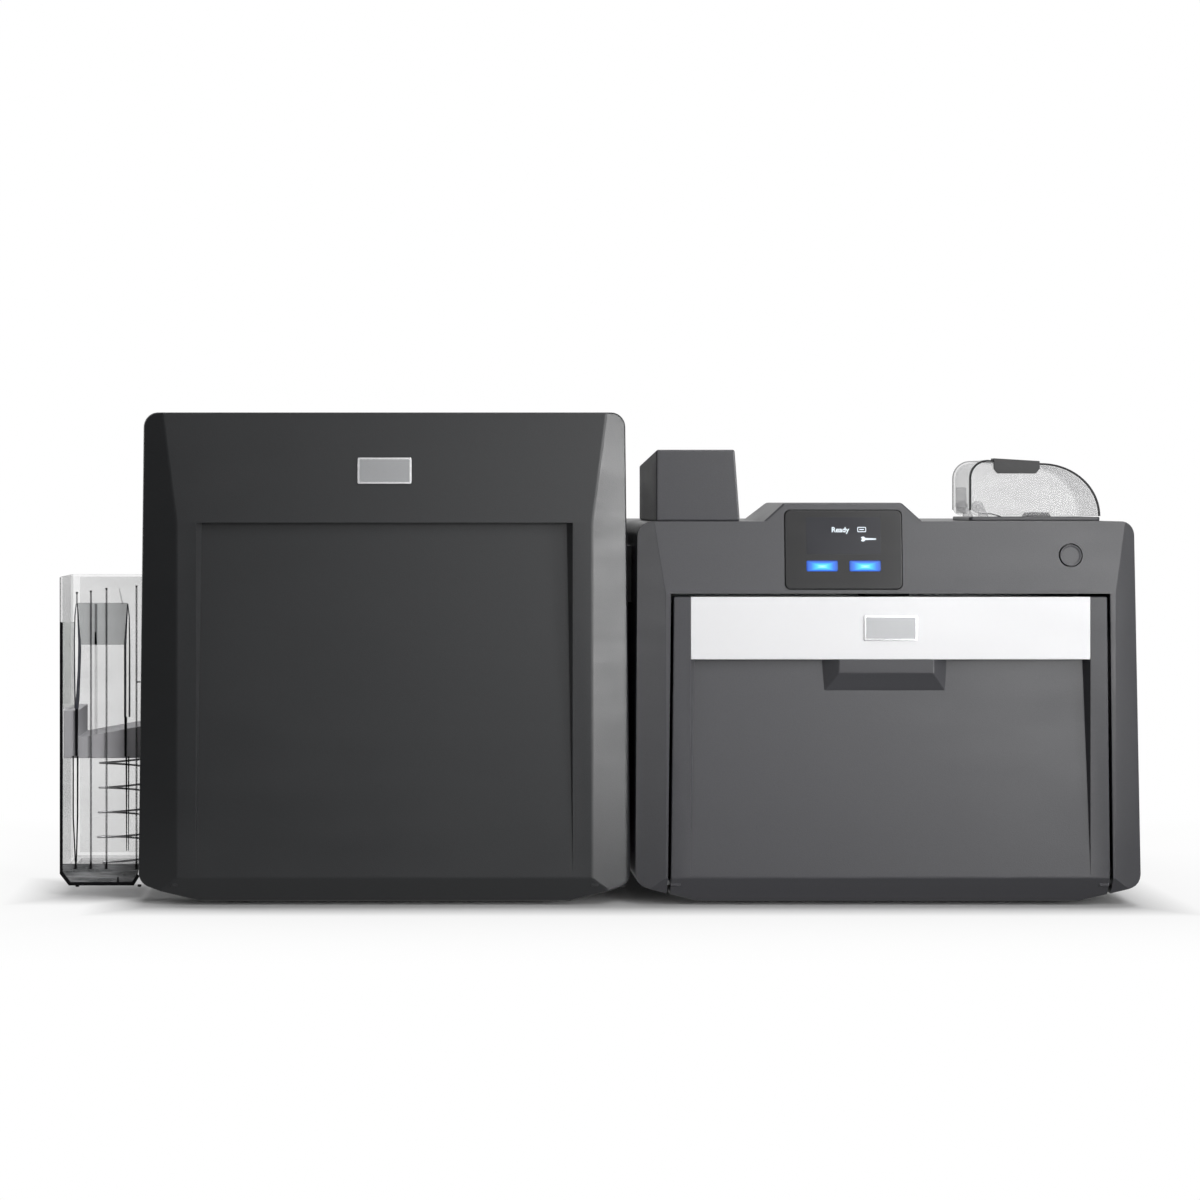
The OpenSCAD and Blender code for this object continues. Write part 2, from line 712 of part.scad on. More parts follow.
// Casing: sides, top, control face and the columns beside the door
module printer_casing() color([0.36, 0.36, 0.37]) difference() {
    union() {
        printer_form(0);
        hump(0);
    }
    printer_form(wall);
    hump(wall);
    translate([printer_x, 0, 0]) along_y(front_y - through, base_y0 + through)
        door_outline(door_gap);
    block([printer_x0 - through, base_y0, 0], [printer_x1 + through, back_y + through, base_z]);
    on_face(face_x, bezel_z)
        block([-bezel_w / 2 - 0.1, -through, -bezel_h / 2 - 0.1],
            [bezel_w / 2 + 0.1, bezel_t - 0.6, bezel_h / 2 + 0.1]);
    on_face(face_x, bezel_z)
        block([-bezel_w / 2 + 3, -through, -bezel_h / 2 + 3],
            [bezel_w / 2 - 3, 12, bezel_h / 2 - 3]);
    on_face(power_x, power_z) rotate([90, 0, 0])
        cylinder(d = power_d + 2 * fit, h = 20, center = true, $fn = 64);
    block([input_x0 + 6, card_y - input_w / 2 + 3, printer_h - wall - 2],
        [input_x1 - 3, card_y + input_w / 2 - 3, printer_h + through]);
    block([flipper_x - 29, flipper_y0 + 30, printer_h - wall - 2],
        [flipper_x + 27, flipper_y1 - 6, printer_h + through]);
    card_slot(printer_x0, module_card_z - slot_half, printer_card_z + slot_half);
    block([printer_x - back_w / 2 - 0.1, back_y - wall - through, back_z0 - 0.1],
        [printer_x + back_w / 2 + 0.1, back_y + through, back_z1 + 0.1]);
}

// Steel back panel with the vent slots and the cuts for inlet and sockets
module back_panel() color([0.55, 0.56, 0.58]) difference() {
    block([printer_x - back_w / 2, back_y - wall, back_z0],
        [printer_x + back_w / 2, back_y, back_z1]);
    translate([power_inlet_x, back_y - wall / 2, power_inlet_z]) inlet_cut();
    for (i = [0:13]) block([printer_x + 20 + i * 8, back_y - wall - through, 130],
        [printer_x + 23.5 + i * 8, back_y + through, 200]);
    for (s = sockets) block([s[0] - s[2] / 2, back_y - wall - through, s[1] - s[3] / 2],
        [s[0] + s[2] / 2, back_y + through, s[1] + s[3] / 2]);
}

power_inlet_x = printer_x1 - 70;
power_inlet_z = 60;
// Data sockets: middle X, middle Z, width, height
sockets = [[printer_x - 110, 84, 16.5, 14], [printer_x - 84, 84, 12.5, 11.5]];

// ---- door ----

band_z0 = door_top_z - band_h;
band_t = 2;

module printer_door() color([0.38, 0.38, 0.39]) difference() {
    union() {
        difference() {
            intersection() {
                printer_form(0);
                translate([printer_x, 0, 0]) along_y(front_y, front_y + door_d) door_outline(0);
            }
            // Hollow back, leaving the skin behind the sunk panel
            difference() {
                translate([printer_x, 0, 0]) along_y(front_y + wall + band_t,
                    front_y + door_d + through) polygon([
                    [-door_foot_w / 2 + 4, bevel_z], [door_foot_w / 2 - 4, bevel_z],
                    [door_top_w / 2 - 4, door_top_z - 4], [-door_top_w / 2 + 4, door_top_z - 4]]);
                translate([0, wall, 0])
                    panel_recess(printer_x, band_w + 2 * wall, band_z0 + wall);
            }
        }
        for (side = [-1, 1]) cover_lug(printer_x + side * (door_foot_w / 2 - 4), 7.5);
    }
    panel_recess(printer_x, band_w - 2 * recess_facet, band_z0);
    block([printer_x - band_w / 2, front_y - through, band_z0 - through],
        [printer_x + band_w / 2, front_y + band_t, door_top_z + through]);
    for (side = [-1, 1]) {
        rod_x(axis_y, axis_z, pin_d / 2 + run_fit, printer_x + side * (door_foot_w / 2 - 4) - 6,
            printer_x + side * (door_foot_w / 2 - 4) + 6);
    }
}

module door_band() color([0.87, 0.87, 0.88])
    block([printer_x - band_w / 2, front_y, band_z0],
        [printer_x + band_w / 2, front_y + band_t, door_top_z]);

// Raised grip under the band: inner face near the front plane, slanted sides
handle_w = 94.5;
handle_face_w = 71;
handle_h = 24;
handle_x = printer_x - 3;
module door_handle() color([0.3, 0.3, 0.31]) intersection() {
    along_x(handle_x - handle_w, handle_x + handle_w) polygon([
        [front_y + 1, band_z0], [front_y + 1, band_z0 - 10.5],
        [front_y + recess_y(band_z0 - handle_h), band_z0 - handle_h],
        [front_y + recess_d, band_z0]]);
    translate([handle_x, 0, 0]) linear_extrude(door_top_z) polygon([
        [-handle_face_w / 2, front_y + 1], [handle_face_w / 2, front_y + 1],
        [handle_w / 2, front_y + recess_d], [-handle_w / 2, front_y + recess_d]]);
}

// Depth of the door's sunk panel at a height
function recess_y(z) = recess_d * (z - bevel_z - 2) / (band_z0 - bevel_z - 2);

// Blank plate on the band
module door_badge() color([0.66, 0.67, 0.69])
    block([printer_x - 20, front_y - badge_t, band_z0 + band_h / 2 - 9.5],
        [printer_x + 20, front_y, band_z0 + band_h / 2 + 9.5]);

// ---- display and buttons ----

soft_flange = 2;
module display_bezel() color([0.05, 0.05, 0.06]) on_face(face_x, bezel_z) difference() {
    block([-bezel_w / 2, -0.6, -bezel_h / 2], [bezel_w / 2, bezel_t - 0.6, bezel_h / 2]);
    for (side = [-1, 1]) block(
        [side * soft_dx - soft_w / 2 - fit, -through, soft_z - bezel_z - soft_h / 2 - fit],
        [side * soft_dx + soft_w / 2 + fit, 3, soft_z - bezel_z + soft_h / 2 + fit]);
}

// Board behind the bezel with the screen on it
module display_board() color([0.1, 0.3, 0.2]) on_face(face_x, bezel_z) {
    block([-36, 8, -24], [36, 9.6, 24]);
    block([-28, bezel_t - 0.6, -3], [28, 8, 24]);
}

module soft_button(side) on_face(face_x + side * soft_dx, soft_z) {
    block([-soft_w / 2, -0.9, -soft_h / 2], [soft_w / 2, 5, soft_h / 2]);
    block([-soft_w / 2 - soft_flange, 3.2, -soft_h / 2 - soft_flange],
        [soft_w / 2 + soft_flange, 5, soft_h / 2 + soft_flange]);
}

module left_soft_button() color([0.1, 0.5, 0.95]) soft_button(-1);

module right_soft_button() color([0.1, 0.5, 0.95]) soft_button(1);

module power_button() color([0.36, 0.36, 0.37])
    on_face(power_x, power_z) rotate([90, 0, 0]) {
        translate([0, 0, -7]) cylinder(d = power_d, h = 7.6, $fn = 64);
        translate([0, 0, -7]) cylinder(d = power_d + 5, h = 2, $fn = 64);
    }

// ---- input hopper ----

input_y0 = card_y - input_w / 2;
input_y1 = card_y + input_w / 2;
well_wall = 1.2;
ear_t = 2.5;
flange_z = printer_h + input_flange;
feed_x = input_x0 + 30;
feed_r = 8;
feed_z = input_floor_z - feed_r + 0.6;

module input_hopper_base() color([0.15, 0.15, 0.16]) {
    difference() {
        union() {
            block([input_x0, input_y0, printer_h], [input_x1, input_y1, flange_z]);
            block([input_x0 + 6.2, input_y0 + 3.2, input_floor_z - 2],
                [input_x1 - 3.2, input_y1 - 3.2, printer_h]);
        }
        block([input_x0 + 6.2 + well_wall, input_y0 + 3.2 + well_wall, input_floor_z],
            [input_x1 - 3.2 - well_wall, input_y1 - 3.2 - well_wall, flange_z + through]);
        block([feed_x - 10, card_y - 22, input_floor_z - 3],
            [feed_x + 10, card_y + 22, input_floor_z + through]);
    }
    for (side = [-1, 1]) {
        inner = card_y + side * (input_w / 2 - clear_wall - fit - ear_t);
        outer = card_y + side * (input_w / 2 - clear_wall - fit);
        along_y(min(inner, outer), max(inner, outer)) polygon(concat(
            [[cover_axis_x + 1, flange_z], [cover_axis_x + 9, flange_z],
             [cover_axis_x + 4.5, cover_axis_z]],
            arc(cover_axis_x, cover_axis_z, 4.5, 20, 280, 16)));
        peg = card_y + side * (input_w / 2 - 0.2);
        rod_y(cover_axis_x, cover_axis_z, 1.5, min(outer, peg), max(outer, peg));
    }
}

// Outline of the smoke cover: a tight bend at the left and a wide one at the right
function cover_outline(t) = let (bend = 14, wide = 45.5,
        wide_h = cover_top_z - 2.5 - cover_z0) concat(
    arc(input_x0 + bend, cover_top_z - bend, bend - t, 180, 90, 8),
    [for (i = [0:12]) let (a = 90 - 90 * i / 12)
        [input_x1 - wide + (wide - t) * cos(a), cover_z0 + (wide_h - t) * sin(a)]]);

module input_hopper_cover() color([0.6, 0.62, 0.64, 0.5]) difference() {
    along_y(input_y0, input_y1) polygon(concat(
        arc(cover_axis_x, cover_axis_z, 7, 270, 180, 6), cover_outline(0)));
    along_y(input_y0 + clear_wall, input_y1 - clear_wall) polygon(concat(
        [[input_x0 - through, cover_z0 - through], [input_x0 - through, cover_axis_z],
         [input_x0 + clear_wall, cover_axis_z]], cover_outline(clear_wall),
        [[input_x1 - clear_wall, cover_z0 - through]]));
    rod_y(cover_axis_x, cover_axis_z, 1.5 + run_fit, input_y0 - through, input_y1 + through);
}

// Dark grip over the cover's front upper edge
module cover_grip_tab() color([0.17, 0.17, 0.18]) {
    xa = input_x0 + 18.5;
    xb = input_x0 + 54;
    slope = -2.5 / (input_l - 45.5 - 14);
    za = cover_top_z + slope * (xa - input_x0 - 14);
    zb = cover_top_z + slope * (xb - input_x0 - 14);
    along_y(input_y0, input_y0 + 9) polygon([[xa, za], [xb, zb], [xb, zb + 1.5], [xa, za + 1.5]]);
    along_y(input_y0 - 1.4, input_y0) polygon([
        [xa, za + 1.5], [xb, zb + 1.5], [xb, cover_top_z - 7], [xb - 3, cover_top_z - 10.5],
        [xa + 3, cover_top_z - 10.5], [xa, cover_top_z - 7]]);
}

// Weight that presses the card stack down
module card_weight() color([0.5, 0.5, 0.52]) {
    x0 = input_x0 + 6.2 + well_wall + 1;
    x1 = input_x1 - 3.2 - well_wall - 1;
    half = input_w / 2 - 3.2 - well_wall - 0.9;
    z0 = input_floor_z + 1.2;
    block([x0, card_y - half, z0], [x1, card_y + half, z0 + 5]);
    block([x0 + 30, card_y - 10, z0 + 5], [x0 + 55, card_y + 10, z0 + 11]);
}

// ---- flipper ----

flipper_x = printer_x0 + 46.5;
flipper_x0 = printer_x0 + 15.2;
flipper_x1 = printer_x0 + 78.2;
flipper_y0 = front_y + 5;
flipper_y1 = flipper_y0 + 141;
flipper_top_z = printer_h + 54;
flipper_half_l = 30;
flipper_half_h = 9;
flipper_wall = 2.5;

module flipper_form(inset) intersection() {
    along_y(flipper_y0 + inset, flipper_y1 - inset) polygon([
        [flipper_x0 + inset, printer_h - inset], [flipper_x1 - inset, printer_h - inset],
        [flipper_x1 - 4 - inset, flipper_top_z + through],
        [flipper_x0 + inset, flipper_top_z + through]]);
    along_x(flipper_x0 - through, flipper_x1 + through) polygon([
        [flipper_y0, printer_h - inset], [flipper_y0, flipper_top_z - inset],
        [flipper_y1, flipper_top_z - 10 - inset], [flipper_y1, printer_h - inset]]);
}

module flipper_cover() color([0.33, 0.33, 0.34]) difference() {
    flipper_form(0);
    flipper_form(flipper_wall);
}

// Turning table that takes a card between two side plates
module flipper_table() color([0.3, 0.31, 0.33]) translate([flipper_x, 0, printer_card_z]) {
    difference() {
        union() {
            for (side = [-1, 1]) block(
                [-flipper_half_l, card_y + side * 31.5 - 1.5, -flipper_half_h],
                [flipper_half_l, card_y + side * 31.5 + 1.5, flipper_half_h]);
            block([-flipper_half_l, card_y - 31, -flipper_half_h],
                [2, card_y + 31, -flipper_half_h + 2]);
        }
        rod_y(flipper_roller_dx, -nip - 5, 2 + run_fit, card_y - 40, card_y + 40);
    }
    rod_y(0, 0, spool_shaft / 2, front_frame_y - plate_t - 1, card_y - 32.5);
    rod_y(0, 0, spool_shaft / 2, card_y + 32.5, rear_y + plate_t + 1);
}

flipper_roller_dx = 18;
module flipper_roller() color([0.1, 0.1, 0.1])
    translate([flipper_x + flipper_roller_dx, 0, printer_card_z - nip - 5]) {
        rod_y(0, 0, 2, card_y - 34.5, card_y + 34.5);
        rod_y(0, 0, 5, card_y - 20, card_y + 20);
    }

// ---- printer frame, rollers and cartridges ----

transfer_x = printer_x0 + 176;
transfer_platen_r = 12;
transfer_r = 10;
print_x = printer_x0 + 196;
print_z = 158;
print_r = 15;
film_z = 163;
film_supply_x = printer_x0 + 272;
film_takeup_x = printer_x0 + 118;
ribbon_z = 74;
ribbon_supply_x = printer_x0 + 272;
ribbon_takeup_x = printer_x0 + 160;
head_pivot_x = print_x + 37;
head_pivot_z = 123;
printer_mesh_angle = -45;

printer_rollers = [
    [feed_x, feed_z], [transfer_x, printer_card_z + nip + transfer_r],
    [transfer_x, printer_card_z - nip - transfer_platen_r]];
printer_motor_at = printer_rollers[2]
    + gear_distance * [cos(printer_mesh_angle), sin(printer_mesh_angle)];
film_spools = [[film_supply_x, film_z], [film_takeup_x, film_z], [print_x, print_z]];
ribbon_spools = [[ribbon_supply_x, ribbon_z], [ribbon_takeup_x, ribbon_z]];
flipper_at = [[flipper_x, printer_card_z]];

module rear_frame_plate() color([0.62, 0.63, 0.65]) difference() {
    union() {
        block([printer_x0 + 52, rear_y, foot_h + floor_t],
            [printer_x1 - 52, rear_y + plate_t, printer_h - 6]);
        block([printer_x0 + 16, rear_y, 205],
            [printer_x1 - 16, rear_y + plate_t, printer_h - 6]);
        block([printer_x0 + 52, rear_y, foot_h + floor_t],
            [printer_x1 - 52, rear_y + 22, foot_h + floor_t + plate_t]);
    }
    rear_bores(printer_rollers, bore);
    rear_bores(concat(film_spools, ribbon_spools, flipper_at), spool_shaft / 2 + run_fit);
    rear_bores([printer_motor_at], 5);
    rear_bores([[head_pivot_x, head_pivot_z]], bore);
}

module front_frame_plate() color([0.62, 0.63, 0.65]) {
    z0 = printer_card_z - 24;
    difference() {
        block([printer_x0 + 16, front_frame_y - plate_t, z0],
            [printer_x1 - 16, front_frame_y, printer_h - 6]);
        front_bores(printer_rollers, bore);
        front_bores(flipper_at, spool_shaft / 2 + run_fit);
    }
    for (p = [[printer_x0 + 84, z0 + 5], [printer_x0 + 110, z0 + 41],
        [printer_x1 - 130, z0 + 5], [printer_x1 - 24, z0 + 5]])
        rod_y(p[0], p[1], 3, front_frame_y, rear_y);
}

module feed_roller() color([0.1, 0.1, 0.1])
    roller(printer_rollers[0][0], printer_rollers[0][1], feed_r, 40);

module transfer_roller() color([0.55, 0.2, 0.15])
    roller(printer_rollers[1][0], printer_rollers[1][1], transfer_r);

module transfer_platen() color([0.2, 0.2, 0.21]) {
    at = printer_rollers[2];
    roller(at[0], at[1], transfer_platen_r);
    rod_y(at[0], at[1], shaft_d / 2, rear_y, gear_y + gear_w);
    gear(at[0], at[1], gear_n, gear_y, printer_mesh_angle + 180 / gear_n);
}

module print_platen() color([0.2, 0.2, 0.21]) {
    rod_y(print_x, print_z, spool_shaft / 2, front_frame_y - cartridge_t + 0.5,
        rear_y + plate_t);
    rod_y(print_x, print_z, print_r, card_y - 31, card_y + 31);
}

// Print head on its lever: the head's edge lies just under the platen
module print_head() color([0.5, 0.45, 0.3]) {
    along_y(card_y - 29, card_y + 29) polygon([
        [print_x - 10, head_pivot_z + 8], [print_x - 10, head_pivot_z + 15],
        [print_x - 2, print_z - print_r - 0.3], [print_x + 2, print_z - print_r - 0.3],
        [print_x + 10, head_pivot_z + 15], [print_x + 10, head_pivot_z + 8],
        [head_pivot_x, head_pivot_z + 3], [head_pivot_x + 4, head_pivot_z],
        [head_pivot_x, head_pivot_z - 3]]);
    rod_y(head_pivot_x, head_pivot_z, shaft_d / 2, card_y + 29, rear_y + plate_t + 1);
}

module film_cartridge() color([0.75, 0.35, 0.1])
    cartridge(printer_x0 + 82, printer_x0 + 310, 128, 200, film_spools);

module film_supply_spool() color([0.8, 0.8, 0.78]) spool(film_supply_x, film_z, 24);

module film_takeup_spool() color([0.8, 0.8, 0.78]) spool(film_takeup_x, film_z, 20);

module ribbon_cartridge() color([0.1, 0.35, 0.2])
    cartridge(printer_x0 + 122, printer_x0 + 310, 34, 116, ribbon_spools);

module ribbon_supply_spool() color([0.1, 0.1, 0.3]) spool(ribbon_supply_x, ribbon_z, 26);

module ribbon_takeup_spool() color([0.1, 0.1, 0.3]) spool(ribbon_takeup_x, ribbon_z, 20);

module drive_motor() color([0.12, 0.12, 0.13]) motor(printer_motor_at);

module motor_pinion() color([0.8, 0.7, 0.35])
    pinion(printer_motor_at, printer_mesh_angle + 180);

module power_supply() color([0.6, 0.61, 0.62])
    block([printer_x + 30, 30, foot_h + floor_t], [printer_x + 136, 125, 70]);

// Upright board on four posts, with the data sockets that show at the back
module control_board() color([0.08, 0.32, 0.18]) {
    board_y = back_y - 30;
    block([printer_x - 140, board_y - 1.6, 60], [printer_x + 10, board_y, 200]);
    for (x = [printer_x - 134, printer_x + 4]) for (z = [66, 194])
        rod_y(x, z, 3, board_y, back_y - wall);
    for (s = sockets) difference() {
        block([s[0] - s[2] / 2 + 0.1, board_y, s[1] - s[3] / 2 + 0.1],
            [s[0] + s[2] / 2 - 0.1, back_y, s[1] + s[3] / 2 - 0.1]);
        block([s[0] - s[2] / 2 + 1, board_y + 14, s[1] - s[3] / 2 + 1],
            [s[0] + s[2] / 2 - 1, back_y + through, s[1] + s[3] / 2 - 1]);
    }
}

module power_inlet() color([0.07, 0.07, 0.07])
    translate([power_inlet_x, back_y, power_inlet_z]) inlet();

hopper_bin();
hopper_platform();
hopper_spring();
hopper_dock();
module_base();
module_casing();
module_cover();
module_badge();
module_rear_plate();
module_front_plate();
heat_roller();
pressure_roller();
module_entry_roller();
module_exit_roller();
laminate_cartridge();
laminate_supply_spool();
laminate_takeup_spool();
module_motor();
module_pinion();
module_power_inlet();
hinge_pins();
feet();
dock_collar();
printer_base();
printer_casing();
back_panel();
printer_door();
door_band();
door_handle();
door_badge();
display_bezel();
display_board();
left_soft_button();
right_soft_button();
power_button();
input_hopper_base();
input_hopper_cover();
cover_grip_tab();
card_weight();
flipper_cover();
flipper_table();
flipper_roller();
rear_frame_plate();
front_frame_plate();
feed_roller();
transfer_roller();
transfer_platen();
print_platen();
print_head();
film_cartridge();
film_supply_spool();
film_takeup_spool();
ribbon_cartridge();
ribbon_supply_spool();
ribbon_takeup_spool();
drive_motor();
motor_pinion();
power_supply();
control_board();
power_inlet();
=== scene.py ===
# %% [markdown]
# # A card printer docked to a lamination module
# The row has three parts: a clear output hopper, a tall lamination module and the card
# printer itself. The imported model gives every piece's real size and place. Here each shell
# is built again with rounded edges and its small details, and every piece gets its finish.

# %% Load the frame
import itertools
import json
import math

import bmesh
import bpy
import numpy as np
from mathutils import Matrix, Vector


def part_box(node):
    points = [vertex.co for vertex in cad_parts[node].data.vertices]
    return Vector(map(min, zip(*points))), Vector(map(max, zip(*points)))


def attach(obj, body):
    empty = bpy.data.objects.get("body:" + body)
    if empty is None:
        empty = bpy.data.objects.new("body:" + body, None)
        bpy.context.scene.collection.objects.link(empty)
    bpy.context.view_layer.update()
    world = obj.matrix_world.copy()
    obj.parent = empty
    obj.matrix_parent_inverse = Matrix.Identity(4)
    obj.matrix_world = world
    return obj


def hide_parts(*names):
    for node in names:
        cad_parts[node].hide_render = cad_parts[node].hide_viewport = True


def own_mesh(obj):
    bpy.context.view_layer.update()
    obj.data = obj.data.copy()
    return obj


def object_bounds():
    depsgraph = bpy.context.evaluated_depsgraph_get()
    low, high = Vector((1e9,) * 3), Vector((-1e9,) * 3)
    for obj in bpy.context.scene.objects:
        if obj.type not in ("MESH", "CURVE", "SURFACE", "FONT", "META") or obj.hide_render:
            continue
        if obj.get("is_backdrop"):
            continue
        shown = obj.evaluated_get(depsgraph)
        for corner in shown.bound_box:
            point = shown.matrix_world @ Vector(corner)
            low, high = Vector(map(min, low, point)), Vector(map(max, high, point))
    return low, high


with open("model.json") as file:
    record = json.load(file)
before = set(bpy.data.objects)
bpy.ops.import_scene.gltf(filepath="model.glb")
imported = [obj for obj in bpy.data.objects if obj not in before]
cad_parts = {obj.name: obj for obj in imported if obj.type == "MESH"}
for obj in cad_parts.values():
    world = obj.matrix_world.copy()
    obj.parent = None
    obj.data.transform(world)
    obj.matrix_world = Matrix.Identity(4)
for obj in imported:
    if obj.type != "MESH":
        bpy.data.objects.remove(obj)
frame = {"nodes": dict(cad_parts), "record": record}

cad_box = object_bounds()
print("box of the packed model:", [tuple(corner) for corner in cad_box])

# %% [markdown]
# ## Sizes that the shells are drawn from
# Drawings of machines are made in millimetres, so this lesson keeps millimetres and turns
# them into Blender's metres only when a mesh is made. The overall sizes come from the
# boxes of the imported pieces, so the new shells always stand where the old ones stood.

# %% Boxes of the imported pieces, in millimetres
MM = 0.001


def box_mm(node):
    low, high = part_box(node)
    return [v / MM for v in low], [v / MM for v in high]


def middle_of(node):
    return [(a + b) / 2 for a, b in zip(*box_mm(node))]


def extents(node):
    """Left, right, front, back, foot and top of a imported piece."""
    return [v for ends in zip(*box_mm(node)) for v in ends]


bin_low, bin_high = box_mm("hopper_bin")
cover_low, cover_high = box_mm("module_cover")
casing_low, casing_high = box_mm("printer_casing")
band_low, band_high = box_mm("door_band")
bezel_low, bezel_high = box_mm("display_bezel")
FRONT = cover_low[1]
BACK = casing_high[1]
FOOT = 3.5
WALL = 3.0
MODULE = {"left": cover_low[0], "right": cover_high[0], "top": cover_high[2],
          "corner_w": 30.0, "corner_d": 16.0, "crease": 289.0, "lean": 6.0,
          "side_leans": (4.0, 4.0)}
PRINTER = {"left": casing_low[0], "right": casing_high[0], "top": casing_high[2] - 14.0,
           "corner_w": 21.8, "corner_d": 10.4, "crease": 236.0, "lean": 4.0,
           "side_leans": (1.4, 5.6)}
for house in (MODULE, PRINTER):
    house["mid"] = (house["left"] + house["right"]) / 2
    house["half"] = (house["right"] - house["left"]) / 2
BEVEL_D = 12.0        # the lower bevel runs back by this
BEVEL_Z = 22.0        # height of the crease over it
FOOT_IN = 46.0        # the flat foot starts this far in from each side
FOOT_R = 10.0         # round corner over the sloping foot
FOOT_ARC_Z = 20.3     # height of that corner's middle over the foot
FOOT_TURN = 74.6      # degrees by which that corner turns
TOP_R = 11.0
BASE_Z = 14.0
BASE_Y = FRONT + 33.0
print("module", round(MODULE["mid"], 2), "printer", round(PRINTER["mid"], 2))

# %% [markdown]
# ## Meshes from outlines and from flat faces
# A moulded housing is a block with its corners cut off by flat faces. It can be stacked
# from extruded outlines with boolean cuts, but the cleanest way is to list the planes of
# its faces and keep the space behind all of them: every corner is then a point where three
# planes meet. The bevel that follows finds only real edges on such a clean mesh.

# %% Helpers that make meshes
def placed(name, data):
    """Puts a mesh, a curve or a lamp into the scene as an object."""
    piece = bpy.data.objects.new(name, data)
    bpy.context.scene.collection.objects.link(piece)
    return piece


def mesh_of(bm, name):
    bmesh.ops.recalc_face_normals(bm, faces=bm.faces)
    mesh = bpy.data.meshes.new(name)
    bm.to_mesh(mesh)
    bm.free()
    return placed(name, mesh)


def round_edges(bm, width, steps=3, least_angle=18.0, keep=None):
    """Rounds the edges whose faces meet at more than least_angle degrees."""
    edges = [e for e in bm.edges if len(e.link_faces) == 2
             and e.calc_face_angle(0) > math.radians(least_angle)
             and (keep is None or keep(e))]
    if edges:
        bmesh.ops.bevel(bm, geom=edges, offset=width * MM, segments=steps, profile=0.5,
                        affect="EDGES", clamp_overlap=True)
    return len(edges)


def solid_behind(name, planes, width=0.0, steps=3, least_angle=18.0):
    """The solid behind a list of planes, each a normal and a point, in millimetres."""
    normals = np.array([p[0] for p in planes], float)
    normals /= np.linalg.norm(normals, axis=1)[:, None]
    reach = np.array([np.dot(n, p[1]) for n, p in zip(normals, planes)])
    corners = []
    for trio in itertools.combinations(range(len(planes)), 3):
        three = normals[list(trio)]
        if abs(np.linalg.det(three)) < 1e-6:
            continue
        point = np.linalg.solve(three, reach[list(trio)])
        if np.all(normals @ point <= reach + 1e-6):
            corners.append(point)
    unique = {tuple(np.round(c, 4)): c for c in corners}
    bm = bmesh.new()
    for corner in unique.values():
        bm.verts.new([v * MM for v in corner])
    hull = bmesh.ops.convex_hull(bm, input=bm.verts)
    loose = [g for g in hull["geom_interior"] + hull["geom_unused"]
             if isinstance(g, bmesh.types.BMVert)]
    bmesh.ops.delete(bm, geom=list(set(loose)), context="VERTS")
    bmesh.ops.dissolve_limit(bm, angle_limit=math.radians(0.5), verts=bm.verts,
                             edges=bm.edges)
    if width:
        round_edges(bm, width, steps, least_angle)
    return mesh_of(bm, name)


AXES = {"x": (1, 2, 0), "y": (0, 2, 1), "z": (0, 1, 2)}


def prism(name, outline, axis, low, high, width=0.0, steps=2, least_angle=25.0):
    """An outline in millimetres, extruded along x, y or z between two places."""
    a, b, c = AXES[axis]
    bm = bmesh.new()
    rings = []
    for level in (low, high):
        ring = []
        for point in outline:
            co = [0.0, 0.0, 0.0]
            co[a], co[b], co[c] = point[0] * MM, point[1] * MM, level * MM
            ring.append(bm.verts.new(co))
        rings.append(ring)
        bm.faces.new(ring)
    count = len(outline)
    for i in range(count):
        k = (i + 1) % count
        bm.faces.new((rings[0][i], rings[0][k], rings[1][k], rings[1][i]))
    bmesh.ops.recalc_face_normals(bm, faces=bm.faces)
    if width:
        round_edges(bm, width, steps, least_angle)
    return mesh_of(bm, name)


def block(name, low, high, width=0.0, steps=2):
    outline = [(low[0], low[1]), (high[0], low[1]), (high[0], high[1]), (low[0], high[1])]
    return prism(name, outline, "z", low[2], high[2], width, steps)


def arc(cx, cy, r, start, end, steps=8):
    return [(cx + r * math.cos(math.radians(start + (end - start) * i / steps)),
             cy + r * math.sin(math.radians(start + (end - start) * i / steps)))
            for i in range(steps + 1)]


def rounded(x0, z0, x1, z1, r, steps=6):
    """Outline of a rectangle with round corners."""
    return (arc(x1 - r, z0 + r, r, -90, 0, steps) + arc(x1 - r, z1 - r, r, 0, 90, steps)
            + arc(x0 + r, z1 - r, r, 90, 180, steps) + arc(x0 + r, z0 + r, r, 180, 270, steps))


def centred(half_w, half_h, r, steps=6):
    return rounded(-half_w, -half_h, half_w, half_h, r, steps)


def rod(name, start, end, r, sides=32, width=0.0):
    """A round rod between two points in millimetres."""
    bm = bmesh.new()
    way = Vector(end) - Vector(start)
    bmesh.ops.create_cone(bm, cap_ends=True, segments=sides, radius1=r * MM, radius2=r * MM,
                          depth=way.length * MM)
    if width:
        round_edges(bm, width, 2, 40.0)
    turn = way.to_track_quat("Z", "Y").to_matrix().to_4x4()
    middle = (Vector(start) + Vector(end)) / 2 * MM
    bm.transform(Matrix.Translation(middle) @ turn)
    return mesh_of(bm, name)


def shown_mesh(piece):
    """The mesh of a piece as it shows, with its modifiers or its letters worked out."""
    ready = piece.evaluated_get(bpy.context.evaluated_depsgraph_get())
    return bpy.data.meshes.new_from_object(ready)


def carve(piece, cutters, how="DIFFERENCE"):
    """Cuts, joins or crosses a piece with others and throws the cutters away."""
    for cutter in cutters:
        step = piece.modifiers.new("carve", "BOOLEAN")
        step.operation = how
        step.solver = "EXACT"
        step.object = cutter
    mesh = shown_mesh(piece)
    piece.modifiers.clear()
    piece.data = mesh
    for cutter in cutters:
        bpy.data.objects.remove(cutter)
    return piece


